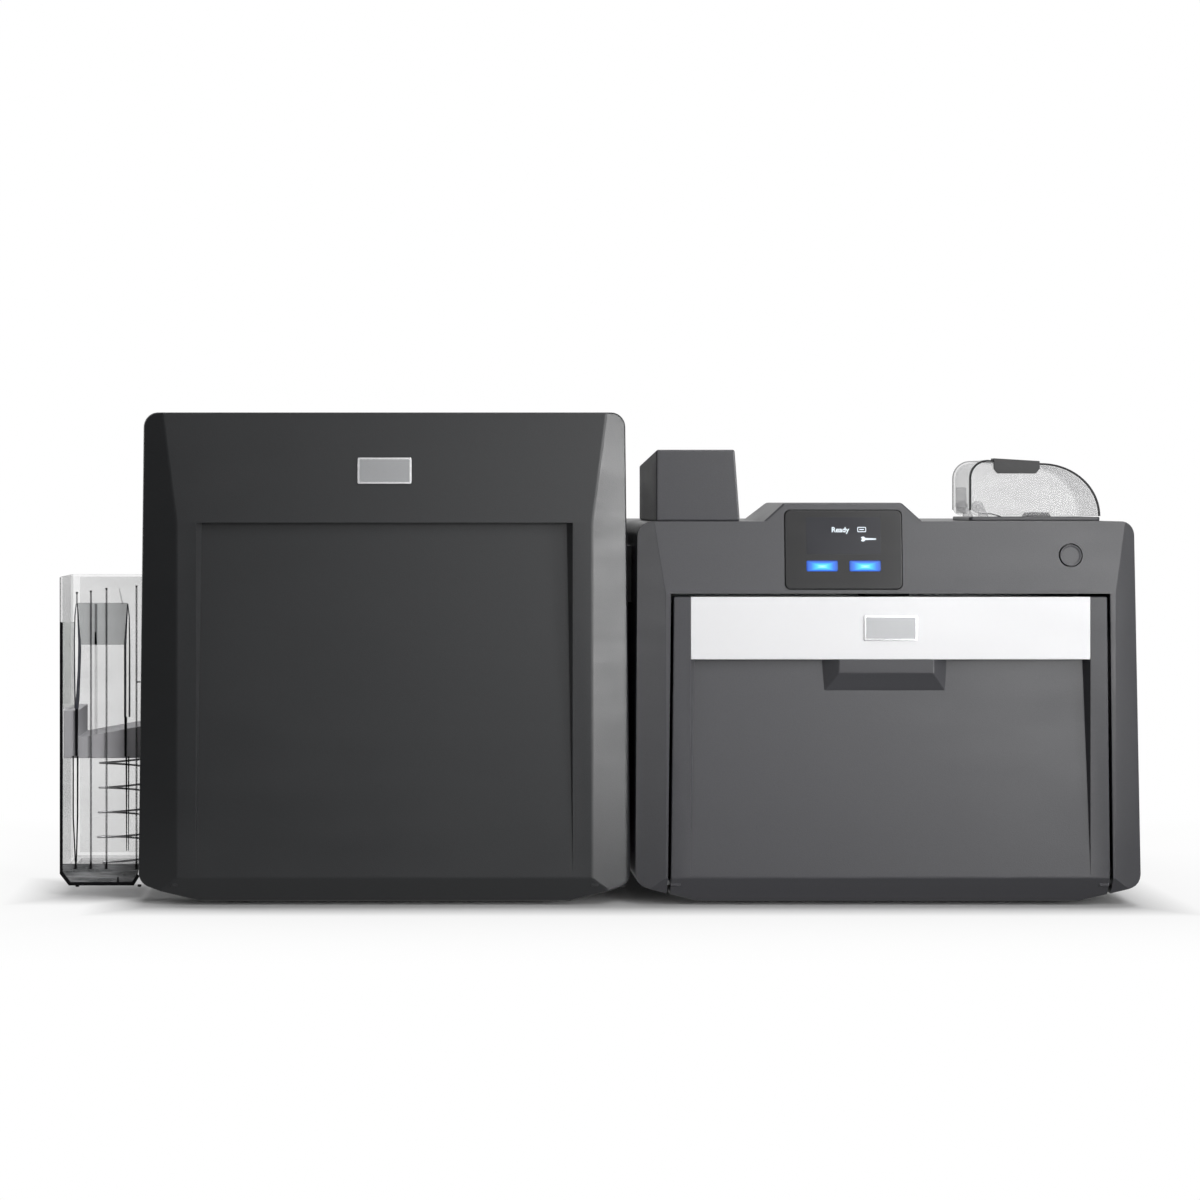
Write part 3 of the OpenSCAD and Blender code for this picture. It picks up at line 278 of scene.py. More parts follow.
def soften(piece, width, keep, steps=2, least_angle=18.0):
    """Rounds the edges of a carved piece for which keep(middle, edge) holds."""
    bm = bmesh.new()
    bm.from_mesh(piece.data)
    bmesh.ops.remove_doubles(bm, verts=bm.verts, dist=0.002 * MM)

    def wanted(edge):
        middle = (edge.verts[0].co + edge.verts[1].co) / 2 / MM
        return keep(middle, edge)
    found = round_edges(bm, width, steps, least_angle, wanted)
    bm.to_mesh(piece.data)
    bm.free()
    return found


def finish_piece(piece, body, material, *nodes, slot=None, smooth=40.0):
    """Shades a piece, gives it its finish and ties it to its CAD body."""
    if piece.type == "MESH":
        piece.data.polygons.foreach_set("use_smooth", [True] * len(piece.data.polygons))
        piece.data.set_sharp_from_angle(angle=math.radians(smooth))
        even = piece.modifiers.new("even_shading", "WEIGHTED_NORMAL")
        even.keep_sharp = True
    piece.data.materials.clear()
    for one in (material if isinstance(material, (list, tuple)) else [material]):
        piece.data.materials.append(one)
    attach(piece, body)
    if nodes:
        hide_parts(*nodes)
    return piece


def finish_shell(piece, body, material, node, smooth=32.0):
    return finish_piece(piece, body, material, node, slot="charcoal_casing", smooth=smooth)

# %% [markdown]
# ## Camera, floor and light
# Product photographs of boxes are taken level, from far off, with a long lens, so that the
# edges stay upright. A level camera here looks along +Y from a little above the middle of
# the row, and the lens shift frames the row, as the rising front of a view camera does.

# %% Level camera
LENS = 80.0
camera = placed("camera", bpy.data.cameras.new("camera"))
camera.data.lens = LENS
camera.data.sensor_width = 36.0
camera.location = (-0.14825, -2.160, 0.306)
camera.rotation_euler = (math.radians(90), 0, 0)
camera.data.shift_x = 0.1667
camera.data.shift_y = -0.0833
bpy.context.scene.camera = camera
bpy.context.scene.view_settings.view_transform = "Standard"
print("camera stands", round(FRONT * MM - camera.location.y, 3), "m in front of the row")


# %% Helper for node trees
def new_material(name):
    """A material, its node tree and its Principled shader."""
    material = bpy.data.materials.new(name)
    material.use_nodes = True
    tree = material.node_tree
    return material, tree, tree.nodes["Principled BSDF"]


def add(tree, kind, **settings):
    node = tree.nodes.new(kind)
    for key, value in settings.items():
        setattr(node, key, value)
    return node


def math_node(tree, operation, first, second=0.0, clamp=False):
    node = add(tree, "ShaderNodeMath", operation=operation, use_clamp=clamp)
    for socket, value in zip(node.inputs, (first, second)):
        if isinstance(value, (int, float)):
            socket.default_value = value
        else:
            tree.links.new(value, socket)
    return node.outputs[0]


def blend_colors(tree, mask, low, high):
    """Mixes two colours by a mask; each colour is a tuple or a socket."""
    mix = add(tree, "ShaderNodeMix", data_type="RGBA")
    tree.links.new(mask, mix.inputs["Factor"])
    for name, value in (("A", low), ("B", high)):
        socket = [s for s in mix.inputs if s.name == name and s.type == "RGBA"][0]
        if isinstance(value, tuple):
            socket.default_value = (*value, 1.0)
        else:
            tree.links.new(value, socket)
    return [s for s in mix.outputs if s.type == "RGBA"][0]


def feed(tree, node, **values):
    """Links or sets inputs of a node; an underscore in a name stands for a space."""
    for title, value in values.items():
        socket = node.inputs[title.replace("_", " ")]
        if isinstance(value, bpy.types.NodeSocket):
            tree.links.new(value, socket)
        else:
            socket.default_value = value
    return node


def range_of(tree, value, from_low, from_high, to_low, to_high):
    node = feed(tree, add(tree, "ShaderNodeMapRange"), Value=value, From_Min=from_low,
                From_Max=from_high, To_Min=to_low, To_Max=to_high)
    return node.outputs["Result"]


def axes_of(tree, space="Object"):
    """The X, Y and Z of the shaded point, each as a socket."""
    place = add(tree, "ShaderNodeTexCoord")
    split = add(tree, "ShaderNodeSeparateXYZ")
    tree.links.new(place.outputs[space], split.inputs[0])
    return split.outputs


def laid_on(tree, kind, rotation=None, scale=None, **inputs):
    """A texture on the object's own coordinates, which can be turned or stretched."""
    place = add(tree, "ShaderNodeTexCoord").outputs["Object"]
    if rotation or scale:
        turn = feed(tree, add(tree, "ShaderNodeMapping"), Vector=place)
        if rotation:
            turn.inputs["Rotation"].default_value = rotation
        if scale:
            turn.inputs["Scale"].default_value = scale
        place = turn.outputs[0]
    return feed(tree, add(tree, kind), Vector=place, **inputs).outputs


# %% [markdown]
# The floor is white paper. To the camera it glows at full white, so that it meets the white
# background without a line. Close to the row that glow gives way to plain diffuse white,
# which darkens where the row keeps the light off, and so draws the soft shadow.

# %% White floor and background
def outside(tree, axes, low, high):
    """How far a point of the floor lies outside a rectangle, in metres."""
    worst = None
    for name, a, b in (("X", low[0], high[0]), ("Y", low[1], high[1])):
        off = math_node(tree, "SUBTRACT", axes[name], (a + b) / 2 * MM)
        off = math_node(tree, "SUBTRACT", math_node(tree, "ABSOLUTE", off),
                        (b - a) / 2 * MM)
        worst = off if worst is None else math_node(tree, "MAXIMUM", worst, off)
    return worst


def seen_directly(tree):
    """The light path's outputs, and a mask of what is seen with no bounce between."""
    path = add(tree, "ShaderNodeLightPath").outputs
    return path, math_node(tree, "MAXIMUM", path["Is Camera Ray"],
                           path["Is Transmission Ray"])


def make_floor():
    bpy.ops.mesh.primitive_plane_add(size=60, location=(0, 0, 0))
    floor = bpy.context.object
    floor.name = "floor"
    material, tree, shader = new_material("white_paper")
    tree.nodes.remove(shader)
    axes = axes_of(tree)
    off = math_node(tree, "MINIMUM",
                    outside(tree, axes, (MODULE["left"], FRONT), (PRINTER["right"], BACK)),
                    outside(tree, axes, bin_low, (MODULE["left"], bin_high[1])))
    path, seen = seen_directly(tree)
    share = math_node(tree, "ADD", range_of(tree, off, -0.004, 0.040, 0.0, 0.84),
                      range_of(tree, off, 0.03, 0.25, 0.0, 0.16))
    seen = math_node(tree, "MULTIPLY", seen, share)
    near_gloss = math_node(tree, "MULTIPLY", path["Is Glossy Ray"],
                           range_of(tree, off, 0.05, 0.45, 0.30, 0.0))
    bounced = math_node(tree, "MAXIMUM", path["Is Glossy Ray"],
                        math_node(tree, "MULTIPLY", path["Is Diffuse Ray"], 0.75))
    color = blend_colors(tree, bounced, (0.80, 0.80, 0.80), (0.05, 0.05, 0.05))
    paper = feed(tree, add(tree, "ShaderNodeBsdfDiffuse"), Color=color)
    glow = feed(tree, add(tree, "ShaderNodeEmission"), Color=(1, 1, 1, 1), Strength=1.0)
    mix = add(tree, "ShaderNodeMixShader")
    tree.links.new(math_node(tree, "MAXIMUM", seen, near_gloss), mix.inputs[0])
    tree.links.new(paper.outputs[0], mix.inputs[1])
    tree.links.new(glow.outputs[0], mix.inputs[2])
    tree.links.new(mix.outputs[0], tree.nodes["Material Output"].inputs["Surface"])
    floor.data.materials.append(material)
    floor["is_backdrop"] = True


make_floor()

# %% [markdown]
# The room is dim in front of the row and lighter behind it, so that the cut corners of the
# housings reflect little; the camera itself sees plain white. The world gives this room.
# Soft panels of light fill the flat faces, and two small ones with a narrow spread light
# only the lower fronts.

# %% World and lamps
def make_world():
    world = bpy.data.worlds.new("studio")
    bpy.context.scene.world = world
    world.use_nodes = True
    tree = world.node_tree
    room = range_of(tree, axes_of(tree, "Generated")["Y"], -0.1, 0.55, 0.10, 0.75)
    seen = seen_directly(tree)[1]
    level = feed(tree, add(tree, "ShaderNodeMix", data_type="FLOAT"), Factor=seen, A=room,
                 B=1.0)
    feed(tree, tree.nodes["Background"], Strength=level.outputs["Result"],
         Color=(1, 1, 1, 1))


def panel(name, place, target, width, height, watts, spread=180.0):
    """A soft light panel that faces a point."""
    lamp = bpy.data.lights.new(name, "AREA")
    lamp.shape = "RECTANGLE"
    lamp.size, lamp.size_y = width, height
    lamp.energy = watts
    piece = placed(name, lamp)
    piece.location = place
    way = Vector(target) - Vector(place)
    piece.rotation_euler = way.to_track_quat("-Z", "Y").to_euler()
    lamp.spread = math.radians(spread)


make_world()
panel("overhead", (0.1, 0.25, 1.8), (0, 0.1, 0.2), 1.8, 0.9, 18)
panel("front_key", (0.9, -2.2, 1.9), (0.0, 0, 0.2), 1.0, 0.8, 20)
panel("front_wall", (0.35, -3.3, 0.9), (0.0, 0, 0.25), 1.2, 1.8, 8)
panel("right_front", (1.25, -2.45, 0.60), (0.3, -0.1, 0.25), 1.0, 1.2, 23)
panel("grid_box_left", (-0.80, -0.95, 0.25), (0.045, -0.155, 0.14), 0.25, 0.4, 0.05, 22.0)
panel("grid_box", (0.86, -0.66, 0.26), (0.01, -0.15, 0.19), 0.34, 0.50, 0.35, 32.0)
panel("left_back", (-1.9, 0.7, 0.9), (-0.3, 0.1, 0.2), 1.2, 1.4, 15)

# %% [markdown]
# ## Effects that several finishes share
# Moulded plastic is never perfectly even: its mould is spark-eroded, which leaves a fine
# pebbled grain, and hands leave faint marks that change the gloss. Rounded edges are painted
# a little paler, as a painted highlight of the light that they catch. Each of these is a node
# group with its own values in every finish. A group could also be copied by hand into each
# material, but then a change has to be made many times.

# %% Node groups: pebbled grain, handling marks, painted edge highlights, wound layers
def new_group(name, inputs, outputs):
    """A node group that takes and gives numbers, the sockets it is given, its output."""
    group = bpy.data.node_groups.new(name, "ShaderNodeTree")
    for way, titles in (("INPUT", inputs), ("OUTPUT", outputs)):
        for title in titles:
            socket = group.interface.new_socket(title, in_out=way,
                                                socket_type="NodeSocketFloat")
            if way == "INPUT":
                socket.default_value = inputs[title]
    given, out = (group.nodes.new(kind) for kind in ("NodeGroupInput", "NodeGroupOutput"))
    return group, given.outputs, out


def pebbled_grain():
    """Height and fleck of a spark-eroded surface; Cell is the size of a pebble in metres."""
    group, given, out = new_group("pebbled_grain", {"Cell": 0.0006}, ["Height", "Fleck"])
    place = add(group, "ShaderNodeTexCoord").outputs["Object"]
    density = math_node(group, "DIVIDE", 1.0, given["Cell"])
    cells = feed(group, add(group, "ShaderNodeTexVoronoi", feature="SMOOTH_F1"),
                 Smoothness=0.6, Vector=place, Scale=density).outputs
    cloud = feed(group, add(group, "ShaderNodeTexNoise"), Detail=3.0, Vector=place,
                 Scale=density).outputs
    feed(group, out, Height=math_node(group, "ADD", cells["Distance"], cloud["Fac"]),
         Fleck=range_of(group, cloud["Fac"], 0.3, 0.7, 0.0, 1.0))
    return group


def handling_marks():
    """Soft blotches where hands and cloths have changed the gloss."""
    group, given, out = new_group("handling_marks", {"Spread": 9.0}, ["Marks"])
    blot = laid_on(group, "ShaderNodeTexNoise", Detail=5.0, Roughness=0.62,
                   Scale=given["Spread"])
    wipe = laid_on(group, "ShaderNodeTexNoise", scale=(0.25, 0.25, 1.0), Scale=55.0,
                   Detail=4.0)
    both = math_node(group, "MULTIPLY", blot["Fac"], wipe["Fac"])
    feed(group, out, Marks=range_of(group, both, 0.12, 0.42, 0.0, 1.0))
    return group


def painted_edge_mask():
    """Finds edges by comparing the true normal with one rounded over Radius metres."""
    # The finishes use this edge mask to paint highlights and rim lines along rounded edges.
    group, given, out = new_group("painted_edge_mask", {"Radius": 0.001}, ["Edge"])
    rounding = feed(group, add(group, "ShaderNodeBevel", samples=3), Radius=given["Radius"])
    shape = add(group, "ShaderNodeNewGeometry")
    dot = add(group, "ShaderNodeVectorMath", operation="DOT_PRODUCT")
    group.links.new(rounding.outputs[0], dot.inputs[0])
    group.links.new(shape.outputs["Normal"], dot.inputs[1])
    feed(group, out, Edge=range_of(group, dot.outputs["Value"], 0.985, 0.85, 0.0, 1.0))
    return group


def wound_layers():
    """Fine rings of film wound on a core that lies along Y; Pitch is one layer in metres."""
    group, given, out = new_group("wound_layers", {"Pitch": 0.0006, "Core X": 0.0,
                                                   "Core Z": 0.0}, ["Rings"])
    axes = axes_of(group)
    across = math_node(group, "SUBTRACT", axes["X"], given["Core X"])
    up = math_node(group, "SUBTRACT", axes["Z"], given["Core Z"])
    square = math_node(group, "ADD", math_node(group, "MULTIPLY", across, across),
                       math_node(group, "MULTIPLY", up, up))
    radius = math_node(group, "SQRT", square)
    turns = math_node(group, "DIVIDE", radius, given["Pitch"])
    wave = math_node(group, "SINE", math_node(group, "MULTIPLY", turns, math.tau))
    feed(group, out, Rings=range_of(group, wave, -1.0, 1.0, 0.0, 1.0))
    return group


GRAIN = pebbled_grain()
MARKS = handling_marks()
EDGE = painted_edge_mask()
RINGS = wound_layers()
print("effects:", [g.name for g in bpy.data.node_groups])


# %% Helper that places an effect
def effect(tree, group, **values):
    return feed(tree, add(tree, "ShaderNodeGroup", node_tree=group), **values).outputs


def bump(tree, shader, height, depth, strength=1.0):
    """Feeds a height into the shader's normal; depth is in metres."""
    node = feed(tree, add(tree, "ShaderNodeBump"), Distance=depth, Strength=strength,
                Height=height)
    feed(tree, shader, Normal=node.outputs[0])


def uneven(tree, mask, low, high):
    """A value that runs from low to high with a mask, as gloss does on real surfaces."""
    return range_of(tree, mask, 0.0, 1.0, low, high)


def worn(tree, spread, low, high):
    """A roughness that runs from low to high with the handling marks."""
    return uneven(tree, effect(tree, MARKS, Spread=spread)["Marks"], low, high)


# %% [markdown]
# ## Moulded plastics
# The housings are injection-moulded in a dark grey plastic with a satin grain. The colour
# stays nearly even, so the finish lives in the grain's bump, in slightly uneven gloss and
# in a painted highlight that makes edges a touch paler. One function makes every moulded
# plastic in the row, because they differ only in colour, gloss and size of grain.

# %% Moulded plastic
def moulded(name, color, pale, rough, cell=0.0007, depth=0.00003, edge=0.25):
    """A moulded plastic: colour, the colour of its flecks and of its painted edge highlight,
    and its gloss.
    """
    material, tree, shader = new_material(name)
    grain = effect(tree, GRAIN, Cell=cell)
    painted_edge = effect(tree, EDGE, Radius=0.0009)["Edge"]
    fleck = math_node(tree, "MULTIPLY", grain["Fleck"], 0.22)
    # Random flecks, and a painted highlight of strength edge on rounded edges, turn the colour
    # pale.
    paler = math_node(tree, "MAXIMUM", fleck, math_node(tree, "MULTIPLY", painted_edge, edge))
    feed(tree, shader, Base_Color=blend_colors(tree, paler, color, pale),
         Roughness=worn(tree, 7.0, rough - 0.04, rough + 0.05))
    bump(tree, shader, grain["Height"], depth)
    return material


charcoal = moulded("charcoal_plastic", (0.023, 0.024, 0.0255), (0.045, 0.046, 0.050), 0.34)
graphite = moulded("graphite_plastic", (0.050, 0.050, 0.056), (0.085, 0.085, 0.094), 0.33)
black_plastic = moulded("black_plastic", (0.012, 0.012, 0.013), (0.04, 0.04, 0.042), 0.42)
flipper_grey = moulded("grey_plastic", (0.16, 0.16, 0.165), (0.26, 0.26, 0.27), 0.45)
rubber = moulded("black_rubber", (0.016, 0.016, 0.016), (0.05, 0.05, 0.05), 0.75,
                 0.0012, 0.00006, 0.3)
print("moulded plastics:", charcoal.name, black_plastic.name, flipper_grey.name)

# %% [markdown]
# ## Clear plastics
# Both hoppers are thin clear mouldings. Real refraction would need walls with exact
# thickness and many bounces of light; what the eye reads is simpler: a wall seen face-on
# is nearly invisible, and it turns dark and mirror-like where it is seen edge-on. Layer
# Weight gives that angle, and it drives the alpha and the colour.

# %% Clear and smoked plastic
def see_through(name, face_color, edge_color, face_alpha, edge_alpha, power=2.2,
                painted_rim_alpha=0.30):
    """Thin clear plastic, darker and more opaque where it is seen edge-on."""
    material, tree, shader = new_material(name)
    angle = feed(tree, add(tree, "ShaderNodeLayerWeight"), Blend=0.5)
    side = math_node(tree, "POWER", angle.outputs["Facing"], power)
    marks = effect(tree, MARKS, Spread=16.0)["Marks"]
    painted_edge = effect(tree, EDGE, Radius=0.0007)["Edge"]
    alpha = uneven(tree, side, face_alpha, edge_alpha)
    # Rounded rims are made more opaque: a painted rim line where a real clear edge bends the
    # light.
    rim = math_node(tree, "MULTIPLY", painted_edge, painted_rim_alpha)
    haze = math_node(tree, "MULTIPLY", marks, 0.05)
    alpha = math_node(tree, "ADD", math_node(tree, "ADD", alpha, rim), haze, clamp=True)
    feed(tree, shader, Alpha=alpha, IOR=1.49, Roughness=uneven(tree, marks, 0.05, 0.16),
         Base_Color=blend_colors(tree, side, face_color, edge_color))
    grain = effect(tree, GRAIN, Cell=0.012)
    bump(tree, shader, grain["Height"], 0.0002, 0.5)
    return material


clear = see_through("clear_plastic", (0.62, 0.62, 0.63), (0.22, 0.22, 0.23), 0.035, 0.42,
                    3.0, 0.12)
smoke = see_through("smoke_plastic", (0.42, 0.42, 0.43), (0.34, 0.34, 0.35), 0.14, 0.34, 2.5,
                    0.2)
print("clear plastics:", clear.name, smoke.name)

# %% [markdown]
# ## Trims, display and lit keys
# The silver band is plastic with a fine metallic lacquer: almost white, with a slight
# sparkle. The badge plate is bright chrome around a satin field. The display is gloss
# black plastic, and the keys are frosted lenses with blue lamps behind them: brightest in
# the middle and deep blue at the ends.

# %% Silver, chrome and gloss black
def lacquer(name, color, dark, metallic, rough):
    material, tree, shader = new_material(name)
    grain = effect(tree, GRAIN, Cell=0.00025)
    feed(tree, shader, Base_Color=blend_colors(tree, grain["Fleck"], dark, color),
         Roughness=worn(tree, 5.0, rough - 0.03, rough + 0.06), Metallic=metallic)
    bump(tree, shader, grain["Height"], 0.00001)
    return material


silver = lacquer("silver_lacquer", (0.78, 0.78, 0.79), (0.68, 0.68, 0.695), 0.25, 0.36)
badge_field = lacquer("badge_field", (0.44, 0.445, 0.455), (0.36, 0.365, 0.375), 0.85, 0.38)
chrome = lacquer("badge_chrome", (0.80, 0.80, 0.81), (0.68, 0.68, 0.69), 1.0, 0.18)


def make_gloss_black():
    material, tree, shader = new_material("gloss_black")
    painted_edge = effect(tree, EDGE, Radius=0.0008)["Edge"]
    # Rounded edges are painted paler here: a painted highlight.
    color = blend_colors(tree, painted_edge, (0.010, 0.010, 0.011), (0.05, 0.05, 0.052))
    feed(tree, shader, Base_Color=color, Roughness=worn(tree, 14.0, 0.16, 0.26),
         Specular_IOR_Level=0.36, Coat_Weight=0.1, Coat_Roughness=0.06)
    return material


gloss_black = make_gloss_black()

# %% Lit keys, by their distance from the key's middle
def make_lit_key():
    """Blue lamp light that fades to the ends of the two keys, and from their mid line."""
    material, tree, shader = new_material("lit_key")
    axes = axes_of(tree)

    def away(axis, middle, half):
        """Distance from a place in mm, 1 at half a key's size."""
        off = math_node(tree, "SUBTRACT", axes[axis], middle * MM)
        return math_node(tree, "DIVIDE", math_node(tree, "ABSOLUTE", off), half * MM)

    ends = []
    for key in ("left_soft_button", "right_soft_button"):
        low, high = box_mm(key)
        ends.append(away("X", middle_of(key)[0], (high[0] - low[0]) / 2))
    far = math_node(tree, "MAXIMUM", math_node(tree, "MINIMUM", *ends),
                    away("Z", middle_of(key)[2], 4.6))
    ramp = add(tree, "ShaderNodeValToRGB")
    stops = ((0.0, (0.42, 1.0, 1.0)), (0.30, (0.02, 0.66, 1.0)), (0.62, (0.0, 0.15, 0.90)),
             (1.0, (0.0, 0.02, 0.22)))
    ramp.color_ramp.elements[0].position = stops[0][0]
    ramp.color_ramp.elements[1].position = stops[3][0]
    for place_at, _ in stops[1:3]:
        ramp.color_ramp.elements.new(place_at)
    for spot, (_, color) in zip(ramp.color_ramp.elements, stops):
        spot.color = (*color, 1.0)
    tree.links.new(far, ramp.inputs[0])
    feed(tree, shader, Emission_Color=ramp.outputs["Color"], Emission_Strength=1.0,
         Base_Color=blend_colors(tree, far, (0.05, 0.12, 0.16), (0.01, 0.02, 0.06)),
         Roughness=worn(tree, 30.0, 0.18, 0.3))
    return material


lit_key = make_lit_key()


def glowing(name, color, level):
    """Lit dots of a display: a plain glow, unevenly bright as real pixels are."""
    material, tree, shader = new_material(name)
    fleck = effect(tree, GRAIN, Cell=0.0004)["Fleck"]
    dim = tuple(0.75 * c for c in color)
    feed(tree, shader, Emission_Color=blend_colors(tree, fleck, dim, color),
         Emission_Strength=level,
         Base_Color=blend_colors(tree, fleck, (0.02, 0.02, 0.02), (0.04, 0.04, 0.04)))
    return material


lit_text = glowing("lit_text", (0.84, 0.93, 1.0), 1.2)
print("display:", gloss_black.name, lit_key.name, lit_text.name)

# %% [markdown]
# ## Metals, rollers and wound films inside
# Behind the covers are plated steel plates, ground shafts, rubber rollers, cartridges and
# spools with wound film. They show when a cover is open, and from the side through gaps,
# so each gets its own finish: zinc plate has a faint mottle, rubber is dull and pebbled,
# and wound film shows its layers as fine circles at its ends.

# %% Metals
def metal(name, color, dull, rough, spread, grain_cell=0.0011, depth=0.00001):
    """A metal whose colour and gloss vary a little, as plating does."""
    material, tree, shader = new_material(name)
    marks = effect(tree, MARKS, Spread=spread)["Marks"]
    grain = effect(tree, GRAIN, Cell=grain_cell)
    feed(tree, shader, Base_Color=blend_colors(tree, marks, color, dull), Metallic=1.0,
         Roughness=uneven(tree, grain["Fleck"], rough - 0.05, rough + 0.07))
    bump(tree, shader, grain["Height"], depth)
    return material


sheet_steel = metal("zinc_steel", (0.60, 0.61, 0.62), (0.48, 0.49, 0.51), 0.40, 12.0)
spring_steel = metal("spring_steel", (0.42, 0.42, 0.43), (0.30, 0.30, 0.31), 0.30, 40.0)
brass = metal("pinion_brass", (0.62, 0.47, 0.22), (0.50, 0.36, 0.16), 0.32, 30.0)
motor_black = metal("motor_black", (0.09, 0.09, 0.095), (0.05, 0.05, 0.055), 0.5, 22.0)


# %% Wound film and ribbon
def wound(name, dark, light, rough, core):
    """Wound web; core is the middle of its spool in millimetres."""
    material, tree, shader = new_material(name)
    rings = effect(tree, RINGS, Pitch=0.0007, Core_X=core[0] * MM,
                   Core_Z=core[2] * MM)["Rings"]
    feed(tree, shader, Base_Color=blend_colors(tree, rings, dark, light),
         Roughness=worn(tree, 18.0, rough, rough + 0.15))
    bump(tree, shader, rings, 0.00005)
    return material


# %% Circuit board, print head and heated roller
def make_board():
    """Green lacquer over copper lines: a brick texture gives straight runs of line."""
    material, tree, shader = new_material("circuit_board")
    lines = laid_on(tree, "ShaderNodeTexBrick", rotation=(math.radians(90), 0, 0),
                    Scale=90.0, Mortar_Size=0.018)["Fac"]
    feed(tree, shader, Roughness=worn(tree, 20.0, 0.25, 0.4),
         Base_Color=blend_colors(tree, lines, (0.01, 0.10, 0.04), (0.06, 0.26, 0.10)))
    bump(tree, shader, lines, 0.00003)
    return material


circuit = make_board()
ceramic = moulded("head_ceramic", (0.62, 0.60, 0.55), (0.75, 0.73, 0.68), 0.35)
silicone = moulded("heated_silicone", (0.30, 0.10, 0.06), (0.42, 0.18, 0.12), 0.55,
                   0.0009, 0.00004)
print("inside:", sheet_steel.name, brass.name, circuit.name, silicone.name)

# %% [markdown]
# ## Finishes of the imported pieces
# The record says which finish each piece has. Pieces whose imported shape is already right,
# such as plates, rollers and motors, keep that shape and take their finish here.

# %% Finish of each slot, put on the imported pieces
SLOT_FINISH = {
    "charcoal_casing": charcoal, "black_plastic": black_plastic,
    "gloss_bezel": gloss_black, "lit_button": lit_key, "clear_plastic": clear,
    "smoke_plastic": smoke, "silver_trim": silver, "sheet_steel": sheet_steel,
    "spring_steel": spring_steel, "roller_rubber": rubber, "heated_silicone": silicone,
    "motor_black": motor_black, "pinion_brass": brass, "circuit_board": circuit,
    "head_ceramic": ceramic, "flipper_grey": flipper_grey}
WOUND_COLORS = {"film_wound": ((0.22, 0.25, 0.27), (0.42, 0.46, 0.48), 0.18),
                "ribbon_wound": ((0.03, 0.05, 0.12), (0.10, 0.16, 0.30), 0.28)}


def slot_of(node):
    for part in frame["record"]["subparts"]:
        if part["node"] == node:
            return part["material_slot"]
    return None


def finish_of(node):
    slot = slot_of(node)
    if slot in WOUND_COLORS:
        dark, light, rough = WOUND_COLORS[slot]
        return wound(slot + "_" + node, dark, light, rough, middle_of(node))
    return SLOT_FINISH[slot]


for node, piece in frame["nodes"].items():
    piece.data.materials.clear()
    piece.data.materials.append(finish_of(node))
print("finished", len(frame["nodes"]), "packed pieces")

# %% [markdown]
# ## Housings
# Both housings are the same kind of moulding: vertical sides that lean in a little, an
# upper front face that leans back over a crease, cut front corners, a lower bevel and
# rounded top corners. That form is convex, so a list of planes gives it exactly; its rounded
# top corners are a fan of planes, each touching the corner's arc.

# %% Planes of a housing
def planes_along(axis, outline, shift=0.0):
    """Planes of a convex outline that runs anticlockwise, endless along x, y or z."""
    a, b, _ = AXES[axis]
    planes = []
    for i, (a0, b0) in enumerate(outline):
        a1, b1 = outline[(i + 1) % len(outline)]
        if math.hypot(a1 - a0, b1 - b0) > 1e-6:
            normal, point = [0, 0, 0], [shift, 0, 0]
            normal[a], normal[b] = b1 - b0, a0 - a1
            point[a] += a0
            point[b] += b0
            planes.append((normal, point))
    return planes


def housing_planes(house, inset=0.0, near=None, far=None):
    """Planes of a housing, inset by a wall, between two depths."""
    mid, top = house["mid"], house["top"]
    cw, cd = house["corner_w"], house["corner_d"]
    half = house["half"] - inset
    slant = math.hypot(cw, cd)
    corner_x = house["half"] - cw + (cw * inset - inset * slant) / cd
    corner_y = FRONT + (cd * (cw - inset) + inset * slant) / cw
    foot, high, r = FOOT + inset, top - inset, TOP_R - inset
    near = FRONT + inset if near is None else near
    far = BACK - inset if far is None else far
    plan = [(-corner_x, FRONT + inset), (corner_x, FRONT + inset), (half, corner_y),
            (half, BACK - inset), (-half, BACK - inset), (-half, corner_y)]
    left_lean, right_lean = house["side_leans"]
    front = ([(-half + FOOT_IN, foot), (half - FOOT_IN, foot)]
             + arc(half - FOOT_R, foot + FOOT_ARC_Z, FOOT_R, -FOOT_TURN, 0, 4)
             + arc(half - right_lean - r, high - r, r, 0, 90, 10)
             + arc(-half + left_lean + r, high - r, r, 90, 180, 10)
             + arc(-half + FOOT_R, foot + FOOT_ARC_Z, FOOT_R, 180, 180 + FOOT_TURN, 4))
    side = [(FRONT + BEVEL_D + inset, foot), (BACK - inset, foot), (BACK - inset, high),
            (FRONT + house["lean"] + inset, high), (FRONT + inset, house["crease"]),
            (FRONT + inset, BEVEL_Z)]
    return (planes_along("z", plan, mid) + planes_along("y", front, mid)
            + planes_along("x", side)
            + [((0, -1, 0), (0, near, 0)), ((0, 1, 0), (0, far, 0))])


FACET = 3.8           # width of the slanted edge beside a sunk panel
SUNK_D = 10.0         # a sunk panel's depth at its top
SUNK_FOOT = 24.0      # height at which it meets the front again


def sunk_wedge(mid, width, top, shift=0.0):
    """A wedge that sinks a panel: deep at its top, nothing at its foot, slanted sides."""
    outer = width / 2 + FACET
    front = FRONT + shift
    planes = [((0, 0, 1), (0, 0, top)), ((0, -1, 0), (0, front - 1, 0)),
              ((0, top - SUNK_FOOT, -SUNK_D), (0, front, SUNK_FOOT))]
    for side in (1, -1):
        edge = (mid + side * outer, front, 0)
        planes += [((side, 0, 0), edge), ((side * SUNK_D, FACET, 0), edge)]
    return solid_behind("wedge", planes)


# %% [markdown]
# The module's front cover is one moulding: it carries the cut corners, the leaning upper
# face and a middle panel that sinks toward its top edge, where a hand pulls it open. The
# sunk panel is a wedge cut out of the solid front, and the back is hollowed so that a skin
# of even thickness stays behind it.

# %% Module cover
COVER_D = cover_high[1] - cover_low[1]
BODY_Y = box_mm("module_casing")[0][1]
AXIS_Y, AXIS_Z = FRONT + 13.0, 18.0
PIN_R = 2.6
PANEL_W = 275.0
ARM_X, LUG_X = 152.0, 158.0


